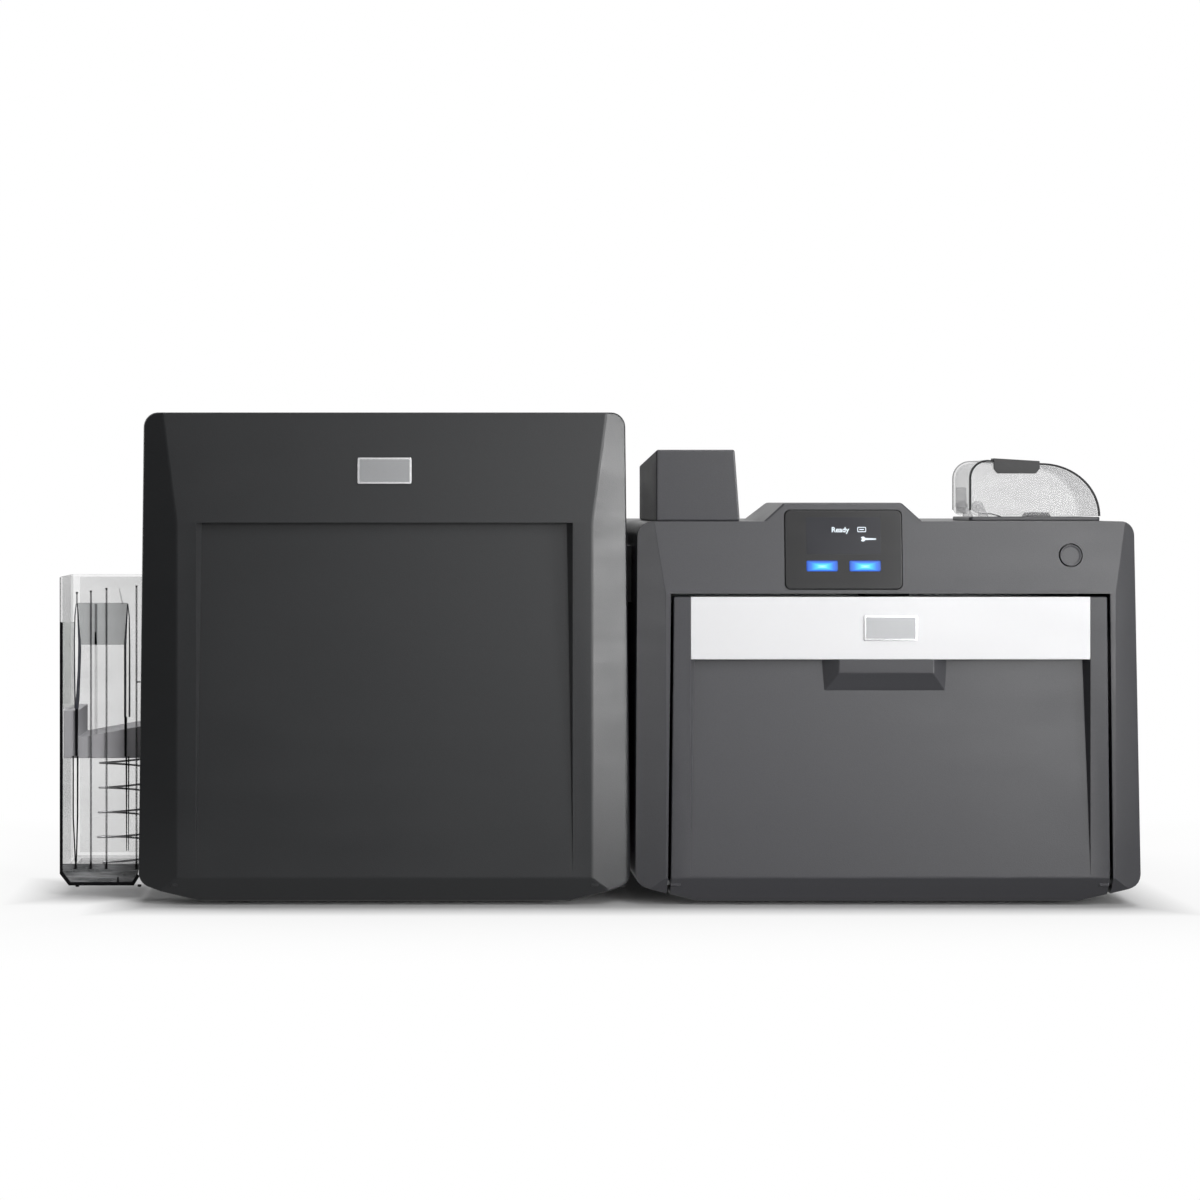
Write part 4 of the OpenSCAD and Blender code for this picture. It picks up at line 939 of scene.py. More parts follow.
def lug_outline(near):
    return [(near, AXIS_Z - 2), (AXIS_Y - 1, AXIS_Z - 5), (AXIS_Y + 5, AXIS_Z - 5),
            (AXIS_Y + 5, AXIS_Z + 5), (near, AXIS_Z + 8)]


def lugs_at(places, half):
    return [prism("lug", lug_outline(FRONT + 2.5), "x", x - half, x + half, 0.4)
            for x in places]


def pin_bore(x, reach):
    return rod("pin_bore", (x - reach, AXIS_Y, AXIS_Z), (x + reach, AXIS_Y, AXIS_Z), PIN_R)


def make_module_cover():
    mid, crease = MODULE["mid"], MODULE["crease"]
    cover = solid_behind("module_front_cover",
                         housing_planes(MODULE, far=FRONT + COVER_D), 1.3, 3)
    hollow = solid_behind("hollow", housing_planes(MODULE, WALL, far=FRONT + COVER_D + 5))
    skin = sunk_wedge(mid, PANEL_W + 2 * WALL, crease + WALL, WALL)
    carve(cover, [carve(hollow, [skin])])
    carve(cover, lugs_at([mid - LUG_X, mid + LUG_X], 2.5), "UNION")
    cuts = [sunk_wedge(mid, PANEL_W, crease)]
    for side in (-1, 1):
        x = mid + side * ARM_X
        cuts += [block("arm_gap", (x - 2.8, FRONT + BEVEL_D, 0),
                       (x + 2.8, FRONT + COVER_D + 1, 14)), pin_bore(mid + side * LUG_X, 5)]
    carve(cover, cuts)

    def on_lip(middle, edge):
        return (abs(middle.z - crease) < 0.5 and middle.y < FRONT + 0.5
                and edge.calc_length() > 0.2)
    print("lips rounded over the sunk panel:", soften(cover, 0.8, on_lip, 3, 9.0))
    return cover


module_cover = make_module_cover()
finish_shell(module_cover, "module_front", charcoal, "module_cover")
print("module cover:", len(module_cover.data.polygons), "faces")

# %% [markdown]
# The casing behind it is a box shell that is open at the front. It is the same form, cut
# at the cover's back edge, with openings for the hopper's liner, the passing card, the power
# inlet and a row of vent slots at the back.

# %% Module casing
dock_low, dock_high = box_mm("hopper_dock")
CARD_Y = middle_of("hopper_bin")[1]
CARD_SLOT = (227.0, 271.0)       # foot and top of the slot between the housings


def base_and_card_cuts(house, card_x):
    """Room for the base under a housing, and the slot through which cards pass."""
    return [block("under", (house["left"] - 1, BASE_Y, 0),
                  (house["right"] + 1, BACK + 1, BASE_Z)),
            block("card_slot", (card_x - 8, CARD_Y - 30, CARD_SLOT[0]),
                  (card_x + 8, CARD_Y + 30, CARD_SLOT[1]))]


def make_module_casing():
    casing = solid_behind("module_housing", housing_planes(MODULE, near=BODY_Y), 1.3, 3)
    left, right, mid = MODULE["left"], MODULE["right"], MODULE["mid"]
    under, card_slot = base_and_card_cuts(MODULE, right)
    cuts = [solid_behind("hollow", housing_planes(MODULE, WALL, near=BODY_Y - 5)), under,
            block("under_front", (left + 12, FRONT, 0), (right - 12, BASE_Y + 1, BASE_Z)),
            block("liner", (left - 1, dock_low[1] - 0.1, 0),
                  (dock_high[0], dock_high[1] + 0.1, dock_high[2] + 0.1)), card_slot,
            block("inlet", (left + 56.4, BACK - 21, 49.9), (left + 83.6, BACK + 20, 70.1))]
    for i in range(12):
        x = mid + 30 + i * 9
        cuts.append(prism("vent", rounded(x, 250, x + 4, 320, 1.9, 4), "y", BACK - 6,
                          BACK + 2))
    return carve(casing, cuts)


module_casing = make_module_casing()
finish_shell(module_casing, "housings", charcoal, "module_casing")
print("module housing:", len(module_casing.data.polygons), "faces")

# %% [markdown]
# The blank plate on the upper face is a bright raised frame round a satin field. Frame and
# field are one zinc casting on the real thing; here they are two pieces, so that each has
# its own finish, and the field lies a little lower than the frame.

# %% Badge plates
def tilt_onto(piece, middle, angle):
    """Moves a piece made round the origin onto a face that leans back by an angle."""
    piece.data.transform(Matrix.Translation(Vector(middle) * MM)
                         @ Matrix.Rotation(-angle, 4, "X"))
    return piece


def badge_plate(name, width, height, body, node, middle, angle):
    """A raised frame with a sunk field; local Y points into the face it sits on."""
    w, h = width / 2, height / 2
    rim = prism(name + "_frame", centred(w, h, 1.2), "y", -1.0, 0.0, 0.25, 2, 40.0)
    window = prism("window", centred(w - 1.5, h - 1.5, 0.8), "y", -2, 1)
    carve(rim, [window])
    field = prism(name + "_field", centred(w - 1.45, h - 1.45, 0.8), "y", -0.65, -0.02,
                  0.12, 2, 40.0)
    for piece in (rim, field):
        tilt_onto(piece, middle, angle)
    finish_piece(rim, body, chrome, node, slot="silver_trim", smooth=35.0)
    finish_piece(field, body, badge_field, slot="silver_trim", smooth=35.0)


UPPER_LEAN = math.atan(MODULE["lean"] / (MODULE["top"] - MODULE["crease"]))
upper_y = FRONT + (328 - MODULE["crease"]) * math.tan(UPPER_LEAN)
badge_plate("module_badge", 40.5, 20, "module_front", "module_badge",
            (MODULE["mid"], upper_y, 328), UPPER_LEAN)
band_mid = middle_of("door_band")[2]
badge_plate("band_badge", 40, 19, "front_door", "door_badge",
            (PRINTER["mid"], FRONT, band_mid), 0.0)
print("badge plates at", upper_y, band_mid)

# %% [markdown]
# The printer's casing has one more volume: a hump in the top, as wide as the display, that
# runs back and falls away. It is a second convex solid, joined to the first, and then the
# door opening, the display pocket, the button hole and the two hopper openings are cut.

# %% Printer casing
FACE_X, BEZEL_Z = middle_of("display_bezel")[0], 268.7
BEZEL_W, BEZEL_H = bezel_high[0] - bezel_low[0], 59.2
HUMP_RISE, HUMP_BASE, HUMP_TOP, HUMP_BACK = 14.0, 130.0, 88.5, 105.0
FACE_LEAN = math.atan(PRINTER["lean"] / (PRINTER["top"] - PRINTER["crease"]))
DOOR_TOP_W, DOOR_FOOT_W, DOOR_GAP = 325.0, 330.0, 2.3
DOOR_TOP = box_mm("printer_door")[1][2]
input_low, input_high = box_mm("input_hopper_base")
flip_low, flip_high = box_mm("flipper_cover")
POWER_X, POWER_Z = middle_of("power_button")[0], 264.5


def hump_planes(inset=0.0):
    low, high = PRINTER["top"] - 5, PRINTER["top"] + HUMP_RISE - inset
    lean, base, top = PRINTER["lean"], HUMP_BASE / 2, HUMP_TOP / 2
    front = [(-base + inset, low), (base - inset, low), (top - inset * 0.7, high),
             (-top + inset * 0.7, high)]
    side = [(FRONT + lean * 0.9 + inset, low), (FRONT + HUMP_BACK + 30, low),
            (FRONT + HUMP_BACK, high),
            (FRONT + lean + HUMP_RISE * math.tan(FACE_LEAN) + inset, high)]
    return planes_along("y", front, FACE_X) + planes_along("x", side)


def face_point(x, z, out=0.0):
    """A point on the leaning control face, or out in front of it."""
    y = FRONT + (z - PRINTER["crease"]) * math.tan(FACE_LEAN)
    return (x, y - out * math.cos(FACE_LEAN), z + out * math.sin(FACE_LEAN))


def door_outline(grow, top_grow=0.0):
    foot, top = DOOR_FOOT_W / 2 + grow, DOOR_TOP_W / 2 + grow
    return [(PRINTER["mid"] - foot, -1), (PRINTER["mid"] + foot, -1),
            (PRINTER["mid"] + top, DOOR_TOP + top_grow),
            (PRINTER["mid"] - top, DOOR_TOP + top_grow)]


SEAM = 0.65
OPENING_TOP = DOOR_TOP + 2.4
WELL = (285.0, 291.0)            # the cuts through the roof, from under it to over it


def make_printer_casing():
    casing = solid_behind("printer_housing", housing_planes(PRINTER), 1.2, 3)
    carve(casing, [solid_behind("hump", hump_planes(), 1.6, 3)], "UNION")
    inside = solid_behind("inside", housing_planes(PRINTER, WALL))
    carve(inside, [solid_behind("hump_inside", hump_planes(WALL))], "UNION")
    carve(inside, [rod("button_hole", face_point(POWER_X, POWER_Z, 9.7),
                       face_point(POWER_X, POWER_Z, -9.3), 9.0, 60)], "UNION")
    carve(casing, [inside])
    mid = PRINTER["mid"]
    w, h = BEZEL_W / 2, BEZEL_H / 2
    pocket = prism("pocket", centred(w + SEAM, h + SEAM, 4.6), "y", -2, 2.4)
    window = prism("window", centred(w - 3, h - 3, 2), "y", -1, 12)
    for cutter in (pocket, window):
        tilt_onto(cutter, face_point(FACE_X, BEZEL_Z), FACE_LEAN)
    cuts = [prism("door_opening", door_outline(DOOR_GAP, 2.4), "y", FRONT - 1, BASE_Y + 1),
            pocket, window,
            block("input_well", (input_low[0] + 6, input_low[1] + 3, WELL[0]),
                  (input_high[0] - 3, input_high[1] - 3, WELL[1])),
            block("flipper_well", (flip_low[0] + 2.3, flip_low[1] + 30, WELL[0]),
                  (flip_high[0] - 4.7, flip_high[1] - 6, WELL[1])),
            block("back_window", (mid - 150.1, BACK - 4, 23.9), (mid + 150.1, BACK + 1, 236.1))]
    carve(casing, cuts + base_and_card_cuts(PRINTER, PRINTER["left"]))

    def on_opening(middle, edge):
        beside = (middle.z > 24 and abs(abs(middle.x - mid) - DOOR_TOP_W / 2) < 8
                  and edge.calc_length() > 0.02)
        return middle.y < FRONT + 0.05 and (beside or abs(middle.z - OPENING_TOP) < 0.05)
    print("edges rounded round the door:", soften(casing, 0.6, on_opening, 2, 30.0))
    return casing


printer_casing = make_printer_casing()
finish_shell(printer_casing, "housings", graphite, "printer_casing")
print("printer casing:", len(printer_casing.data.polygons), "faces")

# %% [markdown]
# The front door is a flat moulding whose middle sinks toward the silver band, with the same
# slanted edges as the module's panel. The band fills its seat flush with the front. Under
# the band a raised grip with slanted sides stands in the sunk panel, where fingers pull.

# %% Printer door
BAND_W = band_high[0] - band_low[0]
BAND_Z0 = band_low[2]
DOOR_D = 20.0
BAND_T = 2.0


def make_printer_door():
    mid = PRINTER["mid"]
    _, right_side, _, left_side = planes_along("y", door_outline(0.0))
    planes = housing_planes(PRINTER, far=FRONT + DOOR_D)
    planes += [right_side, left_side, ((0, 0, 1), (0, 0, DOOR_TOP))]
    door = solid_behind("front_door", planes, 0.9, 3)
    foot, top = DOOR_FOOT_W / 2 - 4, DOOR_TOP_W / 2 - 4
    hollow = prism("hollow", [(mid - foot, BEVEL_Z), (mid + foot, BEVEL_Z),
                              (mid + top, DOOR_TOP - 4), (mid - top, DOOR_TOP - 4)], "y",
                   FRONT + WALL + BAND_T, FRONT + DOOR_D + 1)
    skin = sunk_wedge(mid, BAND_W + 2 * WALL, BAND_Z0 + WALL, WALL)
    carve(door, [carve(hollow, [skin])])
    lug_x = [mid - foot, mid + foot]
    carve(door, lugs_at(lug_x, 3.75), "UNION")
    seat = block("band_seat", (mid - BAND_W / 2, FRONT - 1, BAND_Z0 - 1),
                 (mid + BAND_W / 2, FRONT + BAND_T, DOOR_TOP + 1))
    recess = sunk_wedge(mid, BAND_W - 2 * FACET, BAND_Z0)
    return carve(door, [recess, seat] + [pin_bore(x, 6) for x in lug_x])


front_door = make_printer_door()
finish_shell(front_door, "front_door", graphite, "printer_door")

# %% Silver band and grip
band = block("silver_band", (band_low[0] + 0.15, FRONT, BAND_Z0),
             (band_high[0] - 0.15, FRONT + BAND_T, band_high[2]), 0.35, 3)
finish_piece(band, "front_door", silver, "door_band", slot="silver_trim", smooth=35.0)


def make_grip():
    """Frustum: a face near the front, three slanted sides and a flat top under the band."""
    mid = middle_of("door_handle")[0]
    face, base = 35.5, 47.25
    near, deep = FRONT + 1.0, FRONT + 10.0
    face_z, foot_z = BAND_Z0 - 10.5, box_mm("door_handle")[0][2]
    foot_y = FRONT + 10 * (foot_z - BEVEL_Z - 2) / (BAND_Z0 - BEVEL_Z - 2)
    slope = (foot_y - near, face_z - foot_z)
    planes = [((0, -1, 0), (0, near, 0)), ((0, 0, 1), (0, 0, BAND_Z0)),
              ((0, 0, -1), (0, 0, foot_z)), ((0, 1, 0), (0, deep, 0)),
              ((0, -slope[1], -slope[0]), (0, near, face_z)),
              ((deep - near, face - base, 0), (mid + face, near, 0)),
              ((near - deep, face - base, 0), (mid - face, near, 0))]
    return solid_behind("door_grip", planes, 0.7, 3)


grip = make_grip()
finish_shell(grip, "front_door", graphite, "door_handle")
print("door, band and grip:", [len(p.data.polygons) for p in (front_door, band, grip)])

# %% [markdown]
# ## Display, keys and power button
# The display is one gloss black plate with round corners, seated in the leaning face. A
# sheet of glass covers the screen; the lit words and signs lie just behind its surface. A
# text object gives the generic status word, turned into a thin solid, and the two signs, a
# card and a spanner, are drawn as outlines.

# %% Display plate and screen
SOFT_DX, SOFT_Z, SOFT_W, SOFT_H = 16.1, 256.5, 23.0, 7.5


def onto_face(piece, x, z):
    return tilt_onto(piece, face_point(x, z), FACE_LEAN)


def make_display():
    w, h = BEZEL_W / 2, BEZEL_H / 2
    plate = prism("display_plate", centred(w, h, 4.0, 8), "y", -0.6, 1.4, 0.5, 3, 40.0)
    cuts = []
    half_w, half_h, z = SOFT_W / 2 + 0.3, SOFT_H / 2 + 0.3, SOFT_Z - BEZEL_Z
    for x in (-SOFT_DX, SOFT_DX):
        hole = rounded(x - half_w, z - half_h, x + half_w, z + half_h, 1.1)
        cuts.append(prism("key_hole", hole, "y", -2, 3))
    cuts.append(prism("screen_seat", rounded(-28, -3.5, 28, 24.5, 0.8), "y", -2, -0.45))
    carve(plate, cuts)
    return onto_face(plate, FACE_X, BEZEL_Z)


def make_seam_shade_ring():
    """A black ring behind the plate: painted shade that darkens the narrow seam round it."""
    w, h = BEZEL_W / 2 + SEAM - 0.05, BEZEL_H / 2 + SEAM - 0.05
    ring = prism("seam_shade_ring", centred(w, h, 4.5), "y", 1.45, 2.35)
    carve(ring, [prism("middle", centred(w - 3.4, h - 3.4, 2), "y", 0, 4)])
    return onto_face(ring, FACE_X, BEZEL_Z)


finish_piece(make_display(), "housings", gloss_black, "display_bezel", slot="gloss_bezel",
             smooth=35.0)
finish_piece(make_seam_shade_ring(), "housings", rubber, slot="gloss_bezel", smooth=35.0)


def make_screen_glass():
    material, tree, shader = new_material("screen_glass")
    dots = laid_on(tree, "ShaderNodeTexChecker", Scale=2800.0)["Fac"]
    color = blend_colors(tree, dots, (0.007, 0.008, 0.013), (0.010, 0.011, 0.018))
    feed(tree, shader, Base_Color=color, Roughness=worn(tree, 20.0, 0.14, 0.24),
         Specular_IOR_Level=0.4)
    return material


screen_glass = make_screen_glass()
screen = prism("screen", rounded(-27.9, -3.4, 27.9, 24.4, 0.7), "y", -0.55, -0.2, 0.1, 2,
               40.0)
onto_face(screen, FACE_X, BEZEL_Z)
finish_piece(screen, "housings", screen_glass, slot="gloss_bezel", smooth=35.0)

# %% Lit word and signs
LIT_DEPTH = 0.62


def lit_word(name, text, size, x, z):
    """A word as a thin solid on the screen; x and z are its left end and foot."""
    curve = bpy.data.curves.new(name, "FONT")
    curve.body = text
    curve.size = size * MM
    curve.extrude = 0.03 * MM
    curve.offset = 0.13 * MM
    letters = placed(name, curve)
    bpy.context.view_layer.update()
    mesh = shown_mesh(letters)
    bpy.data.objects.remove(letters)
    word = placed(name, mesh)
    mesh.transform(Matrix.Rotation(math.radians(90), 4, "X"))
    mesh.transform(Matrix.Translation(Vector((x, -LIT_DEPTH, z)) * MM))
    return onto_face(word, FACE_X, BEZEL_Z)


def lit_sign(name, outline, holes=()):
    sign = prism(name, outline, "y", -LIT_DEPTH - 0.03, -LIT_DEPTH + 0.03)
    if holes:
        carve(sign, [prism("hole", hole, "y", -2, 2) for hole in holes])
    return onto_face(sign, FACE_X, BEZEL_Z)


signs = [lit_word("status_word", "Ready", 5.4, -9.0, 13.2)]
card_x, card_z = 10.5, 13.2
signs.append(lit_sign("card_sign", rounded(card_x, card_z, card_x + 6.6, card_z + 3.9, 0.8),
                      [rounded(card_x + 0.6, card_z + 0.6, card_x + 6.0, card_z + 3.3, 0.3)]))
bar = rounded(card_x + 1.5, card_z + 1.6, card_x + 5.1, card_z + 2.3, 0.1, 1)
signs.append(lit_sign("card_sign_bar", bar))
tool_x, tool_z = 14.7, 8.0
jaw = arc(tool_x, tool_z, 1.9, 25, 150, 6) + [(tool_x - 0.5, tool_z)]
jaw += arc(tool_x, tool_z, 1.9, 210, 335, 6)
signs.append(lit_sign("spanner_sign", jaw + [(tool_x + 9.8, tool_z - 0.5),
                                             (tool_x + 9.8, tool_z + 0.5)]))
for sign in signs:
    finish_piece(sign, "housings", lit_text, slot="lit_button")
print("display signs:", [s.name for s in signs])

# %% [markdown]
# The two soft keys are frosted bars that glow blue. The power button is a round cap in the
# housing's own plastic, so what shows of it is the dark gap round it and the soft ring of
# light on its rounded rim.

# %% Soft keys and power button
def make_key(name, side, node, body):
    w, h = SOFT_W / 2, SOFT_H / 2
    key = prism(name, centred(w, h, 1.0), "y", -0.9, 4.6, 0.35, 3, 40.0)
    rim = prism("rim", centred(w + 2, h + 2, 1.2), "y", 3.2, 5.0, 0.2, 2, 40.0)
    carve(key, [rim], "UNION")
    onto_face(key, FACE_X + side * SOFT_DX, SOFT_Z)
    return finish_piece(key, body, lit_key, node, slot="lit_button", smooth=35.0)


make_key("left_key", -1, "left_soft_button", "left_button")
make_key("right_key", 1, "right_soft_button", "right_button")


def skinned(name, loops):
    """A closed skin over loops of points in metres, all with the same count."""
    bm = bmesh.new()
    rings = [[bm.verts.new(point) for point in loop] for loop in loops]
    for low, high in zip(rings, rings[1:]):
        for i, corner in enumerate(low):
            k = (i + 1) % len(low)
            bm.faces.new((corner, low[k], high[k], high[i]))
    bm.faces.new(rings[0])
    bm.faces.new(rings[-1])
    return mesh_of(bm, name)


def turned(name, profile, sides=64):
    """A turned piece: a profile of radius and depth, spun round the local Y axis."""
    turns = [math.tau * i / sides for i in range(sides)]
    return skinned(name, [[(radius * math.cos(a) * MM, depth * MM, radius * math.sin(a) * MM)
                           for a in turns] for radius, depth in profile])


cap = [(5.9, -0.28), (6.5, -0.36), (7.3, -0.55), (7.7, -0.6), (8.0, -0.52), (8.15, -0.2),
       (8.15, 5.0), (11.2, 5.0), (11.2, 7.0), (2.0, 7.0)]
power_cap = onto_face(turned("power_cap", cap), POWER_X, POWER_Z)
finish_shell(power_cap, "power_key", graphite, "power_button", 40.0)
print("keys and button:", len(power_cap.data.polygons), "faces in the button")

# %% [markdown]
# ## Flipper cover and input hopper
# The flipper cover is a hood of dark plastic whose right side leans and whose top falls to
# the back. The input hopper is a dark tray sunk in the top, a smoked cover that is hinged at
# its lower left, and a black grip over the cover's front edge.

# %% Flipper cover
FLIP_TOP = flip_high[2]


def flipper_planes(inset=0.0):
    low, high = PRINTER["top"] - inset, FLIP_TOP + 1
    front = [(flip_low[0] + inset, low), (flip_high[0] - inset, low),
             (flip_high[0] - 4 - inset, high), (flip_low[0] + inset, high)]
    y0, y1 = flip_low[1], flip_high[1]
    return planes_along("y", front) + [((0, -1, 0), (0, y0 + inset, 0)),
                                       ((0, 1, 0), (0, y1 - inset, 0)),
                                       ((0, 10, y1 - y0), (0, y0, FLIP_TOP - inset))]


flipper_hood = solid_behind("flipper_hood", flipper_planes(), 1.6, 3)
carve(flipper_hood, [solid_behind("inside", flipper_planes(2.5))])
finish_shell(flipper_hood, "housings", graphite, "flipper_cover")

# %% Input tray
TRAY_TOP = 293.0
PIVOT_X, PIVOT_Z = input_low[0] + 7.0, 300.7


def make_tray():
    x0, x1, y0, y1, _, _ = extents("input_hopper_base")
    tray = prism("input_tray", rounded(x0, y0, x1, y1, 3.0), "z", PRINTER["top"], TRAY_TOP,
                 0.7, 3, 40.0)
    well = block("well", (x0 + 6.2, y0 + 3.2, 264), (x1 - 3.2, y1 - 3.2, 291), 0.8)
    carve(tray, [well], "UNION")
    cuts = [block("bowl", (x0 + 7.4, y0 + 4.4, 266), (x1 - 4.4, y1 - 4.4, 295)),
            block("roller_window", (x0 + 20, CARD_Y - 22, 262), (x0 + 40, CARD_Y + 22, 268))]
    return carve(tray, cuts)


def make_ears():
    """Clear ears that carry the cover's pivots."""
    parts = []
    for side in (-1, 1):
        inner, outer = sorted((CARD_Y + side * 27.2, CARD_Y + side * 29.7))
        ear = [(PIVOT_X + 1, TRAY_TOP - 0.5), (PIVOT_X + 9, TRAY_TOP - 0.5),
               (PIVOT_X + 4.5, PIVOT_Z)] + arc(PIVOT_X, PIVOT_Z, 4.5, 20, 280, 20)
        parts.append(prism("ear", ear, "y", inner, outer, 0.4, 2, 40.0))
        peg = sorted((CARD_Y + side * 29.6, CARD_Y + side * 31.8))
        parts.append(rod("peg", (PIVOT_X, peg[0], PIVOT_Z), (PIVOT_X, peg[1], PIVOT_Z), 1.5))
    return carve(parts[0], parts[1:], "UNION")


input_tray = make_tray()
finish_shell(input_tray, "housings", graphite, "input_hopper_base", 35.0)
ears = make_ears()
ears.name = "hopper_ears"
ear_clear = see_through("clear_ear", (0.34, 0.34, 0.35), (0.12, 0.12, 0.125), 0.30, 0.8, 2.5)
finish_piece(ears, "housings", ear_clear, slot="clear_plastic", smooth=35.0)
print("flipper hood and tray:", len(flipper_hood.data.polygons),
      len(input_tray.data.polygons))

# %% [markdown]
# The smoked cover is drawn as an arch: a tight bend over the hinge, a nearly flat run and a
# wide fall to the right. Clear mouldings show dark where light has to travel along a wall,
# so the rim of each side wall gets its own darker strip, as the real one's thick edge has.

# %% Smoked cover
smoke_low, smoke_high = box_mm("input_hopper_cover")
SMOKE_Z0, SMOKE_TOP = TRAY_TOP + 0.6, smoke_high[2]
BEND = 14.0           # radius of the arch over the hinge
FALL_W = 45.5         # width of its fall to the right
DROP = 2.5            # by this the flat run comes down between them


def smoke_outline(t, steps=24):
    """The arch, inset by t: left bend, slope, wide elliptical fall."""
    fall_h = SMOKE_TOP - DROP - SMOKE_Z0
    turns = [math.radians(90 - 90 * i / steps) for i in range(steps + 1)]
    fall = [(input_high[0] - FALL_W + (FALL_W - t) * math.cos(turn),
             SMOKE_Z0 + (fall_h - t) * math.sin(turn)) for turn in turns]
    return arc(input_low[0] + BEND, SMOKE_TOP - BEND, BEND - t, 180, 90, 12) + fall


def make_smoke_cover():
    y0, y1 = smoke_low[1], smoke_high[1]
    outer = arc(PIVOT_X, PIVOT_Z, 7, 270, 180, 10) + smoke_outline(0)
    cover = prism("smoked_cover", outer, "y", y0, y1, 1.1, 3, 60.0)
    inner = [(input_low[0] - 1, SMOKE_Z0 - 1), (input_low[0] - 1, PIVOT_Z),
             (input_low[0] + 2, PIVOT_Z)] + smoke_outline(2.0)
    inner += [(input_high[0] - 2, SMOKE_Z0 - 1)]
    hollow = prism("hollow", inner, "y", y0 + 2, y1 - 2)
    bore = rod("bore", (PIVOT_X, y0 - 1, PIVOT_Z), (PIVOT_X, y1 + 1, PIVOT_Z), 1.55, 24)
    return carve(cover, [hollow, bore])


smoked_cover = make_smoke_cover()
finish_piece(smoked_cover, "smoke_cover", smoke, "input_hopper_cover",
             slot="smoke_plastic", smooth=40.0)

# %% Grip tab
ARCH_W = 101.0


def make_tab():
    xa, xb = extents("cover_grip_tab")[:2]
    slope = -DROP / (ARCH_W - FALL_W - BEND)
    za, zb = (SMOKE_TOP + slope * (x - input_low[0] - BEND) for x in (xa, xb))
    y0 = smoke_low[1]
    top = prism("grip_tab", [(xa, za), (xb, zb), (xb, zb + 1.5), (xa, za + 1.5)], "y",
                y0 - 0.5, y0 + 9)
    face = [(xa, za + 1.5), (xa, SMOKE_TOP - 7), (xa + 3, SMOKE_TOP - 10.5),
            (xb - 3, SMOKE_TOP - 10.5), (xb, SMOKE_TOP - 7), (xb, zb + 1.5)]
    front = prism("front", face, "y", y0 - 1.4, y0)
    carve(top, [front], "UNION")
    soften(top, 0.45, lambda middle, edge: True, 2, 35.0)
    return top


grip_tab = make_tab()
finish_piece(grip_tab, "smoke_cover", black_plastic, "cover_grip_tab",
             slot="black_plastic", smooth=35.0)
print("smoked cover:", len(smoked_cover.data.polygons), "faces")

# %% [markdown]
# The rim of the smoked cover is the end of a thin wall, so it reads as a dark line round
# the arch, strong at the front and weak at the back. A small hinge panel at its lower left
# swings with it, and a grey weight with a tall handle keeps the cards down.

# %% Rim lines of the smoked cover, hinge panel and card weight
def wall_end(name, dark, light, alpha):
    """Clear plastic seen along its length: nearly black, with fine upright streaks."""
    material, tree, shader = new_material(name)
    streak = laid_on(tree, "ShaderNodeTexNoise", scale=(900, 900, 25), Scale=1.0)["Fac"]
    feed(tree, shader, Base_Color=blend_colors(tree, streak, dark, light), Alpha=alpha,
         Roughness=worn(tree, 30.0, 0.08, 0.2), Specular_IOR_Level=0.12)
    return material


edge_black = wall_end("clear_wall_end", (0.002, 0.002, 0.003), (0.012, 0.012, 0.014), 0.97)
rib_grey = wall_end("clear_rib_grey", (0.10, 0.10, 0.105), (0.22, 0.22, 0.23), 0.55)


def arch_line(near, far, thick, bends=None):
    """A narrow band that follows the arch from the hinge to the right foot, or less."""
    foot_left = (input_low[0], PIVOT_Z - 2.5)
    outer = [foot_left] + smoke_outline(0)[:bends]
    inner = [(foot_left[0] + thick, foot_left[1])] + smoke_outline(thick)[:bends]
    return prism("smoke_rim", outer + inner[::-1], "y", near, far)


front_rim = arch_line(smoke_low[1] - 0.06, smoke_low[1] + 1.6, 1.5)
finish_piece(front_rim, "smoke_cover", edge_black, slot="smoke_plastic", smooth=30.0)
back_rim = arch_line(smoke_high[1] - 1.2, smoke_high[1] + 0.05, 0.8, 14)
back_rim.name = "smoke_back_rim"
finish_piece(back_rim, "smoke_cover", rib_grey, slot="smoke_plastic", smooth=30.0)
hinge_panel = block("hinge_panel", (smoke_low[0] + 2.15, smoke_high[1] - 5.0, 295.4),
                    (smoke_low[0] + 10.3, smoke_high[1] - 3.8, 316), 0.5)
finish_piece(hinge_panel, "smoke_cover", ear_clear, slot="clear_plastic", smooth=35.0)
lip = prism("tray_lip", [(298.4, 292.6), (318.2, 292.6), (312.8, 294.6), (308.2, 295.8),
                         (298.4, 296.3), (298.4, 295.3), (308.0, 294.9), (312.0, 293.9),
                         (315.0, 292.9), (298.4, 292.9)], "y", input_low[1] + 3.2,
            input_low[1] + 3.9)
finish_piece(lip, "housings", edge_black, slot="black_plastic", smooth=30.0)


def make_weight():
    x0, x1, y0, y1, z0, _ = extents("card_weight")
    plate = block("card_press", (x0, y0, z0), (x1, y1, z0 + 5), 0.8, 3)
    handle = [(x0 + 31, z0 + 4), (x0 + 58, z0 + 4), (x0 + 62, 290.0), (x0 + 58.5, 296.4),
              (x0 + 43.5, 296.4), (x0 + 39, 290.0)]
    knob = prism("handle", handle, "y", CARD_Y - 9, CARD_Y + 9, 0.8, 3)
    return carve(plate, [knob], "UNION")


card_press = make_weight()
finish_piece(card_press, "weight", flipper_grey, "card_weight", slot="flipper_grey",
             smooth=35.0)
print("card press:", len(card_press.data.polygons), "faces")

# %% [markdown]
# ## Output hopper
# Finished cards drop onto a platform that a weak spring carries in a tall clear bin. The
# bin is one thin moulding: what makes it readable is not its faces but its edges. Light
# runs along a clear wall and leaves it only at the ends, so wall ends, ribs and corners
# look black or grey. Tracing that light would need real refraction with exact walls. Here
# each wall end and rib gets its own dark strip, which looks the same from every side.

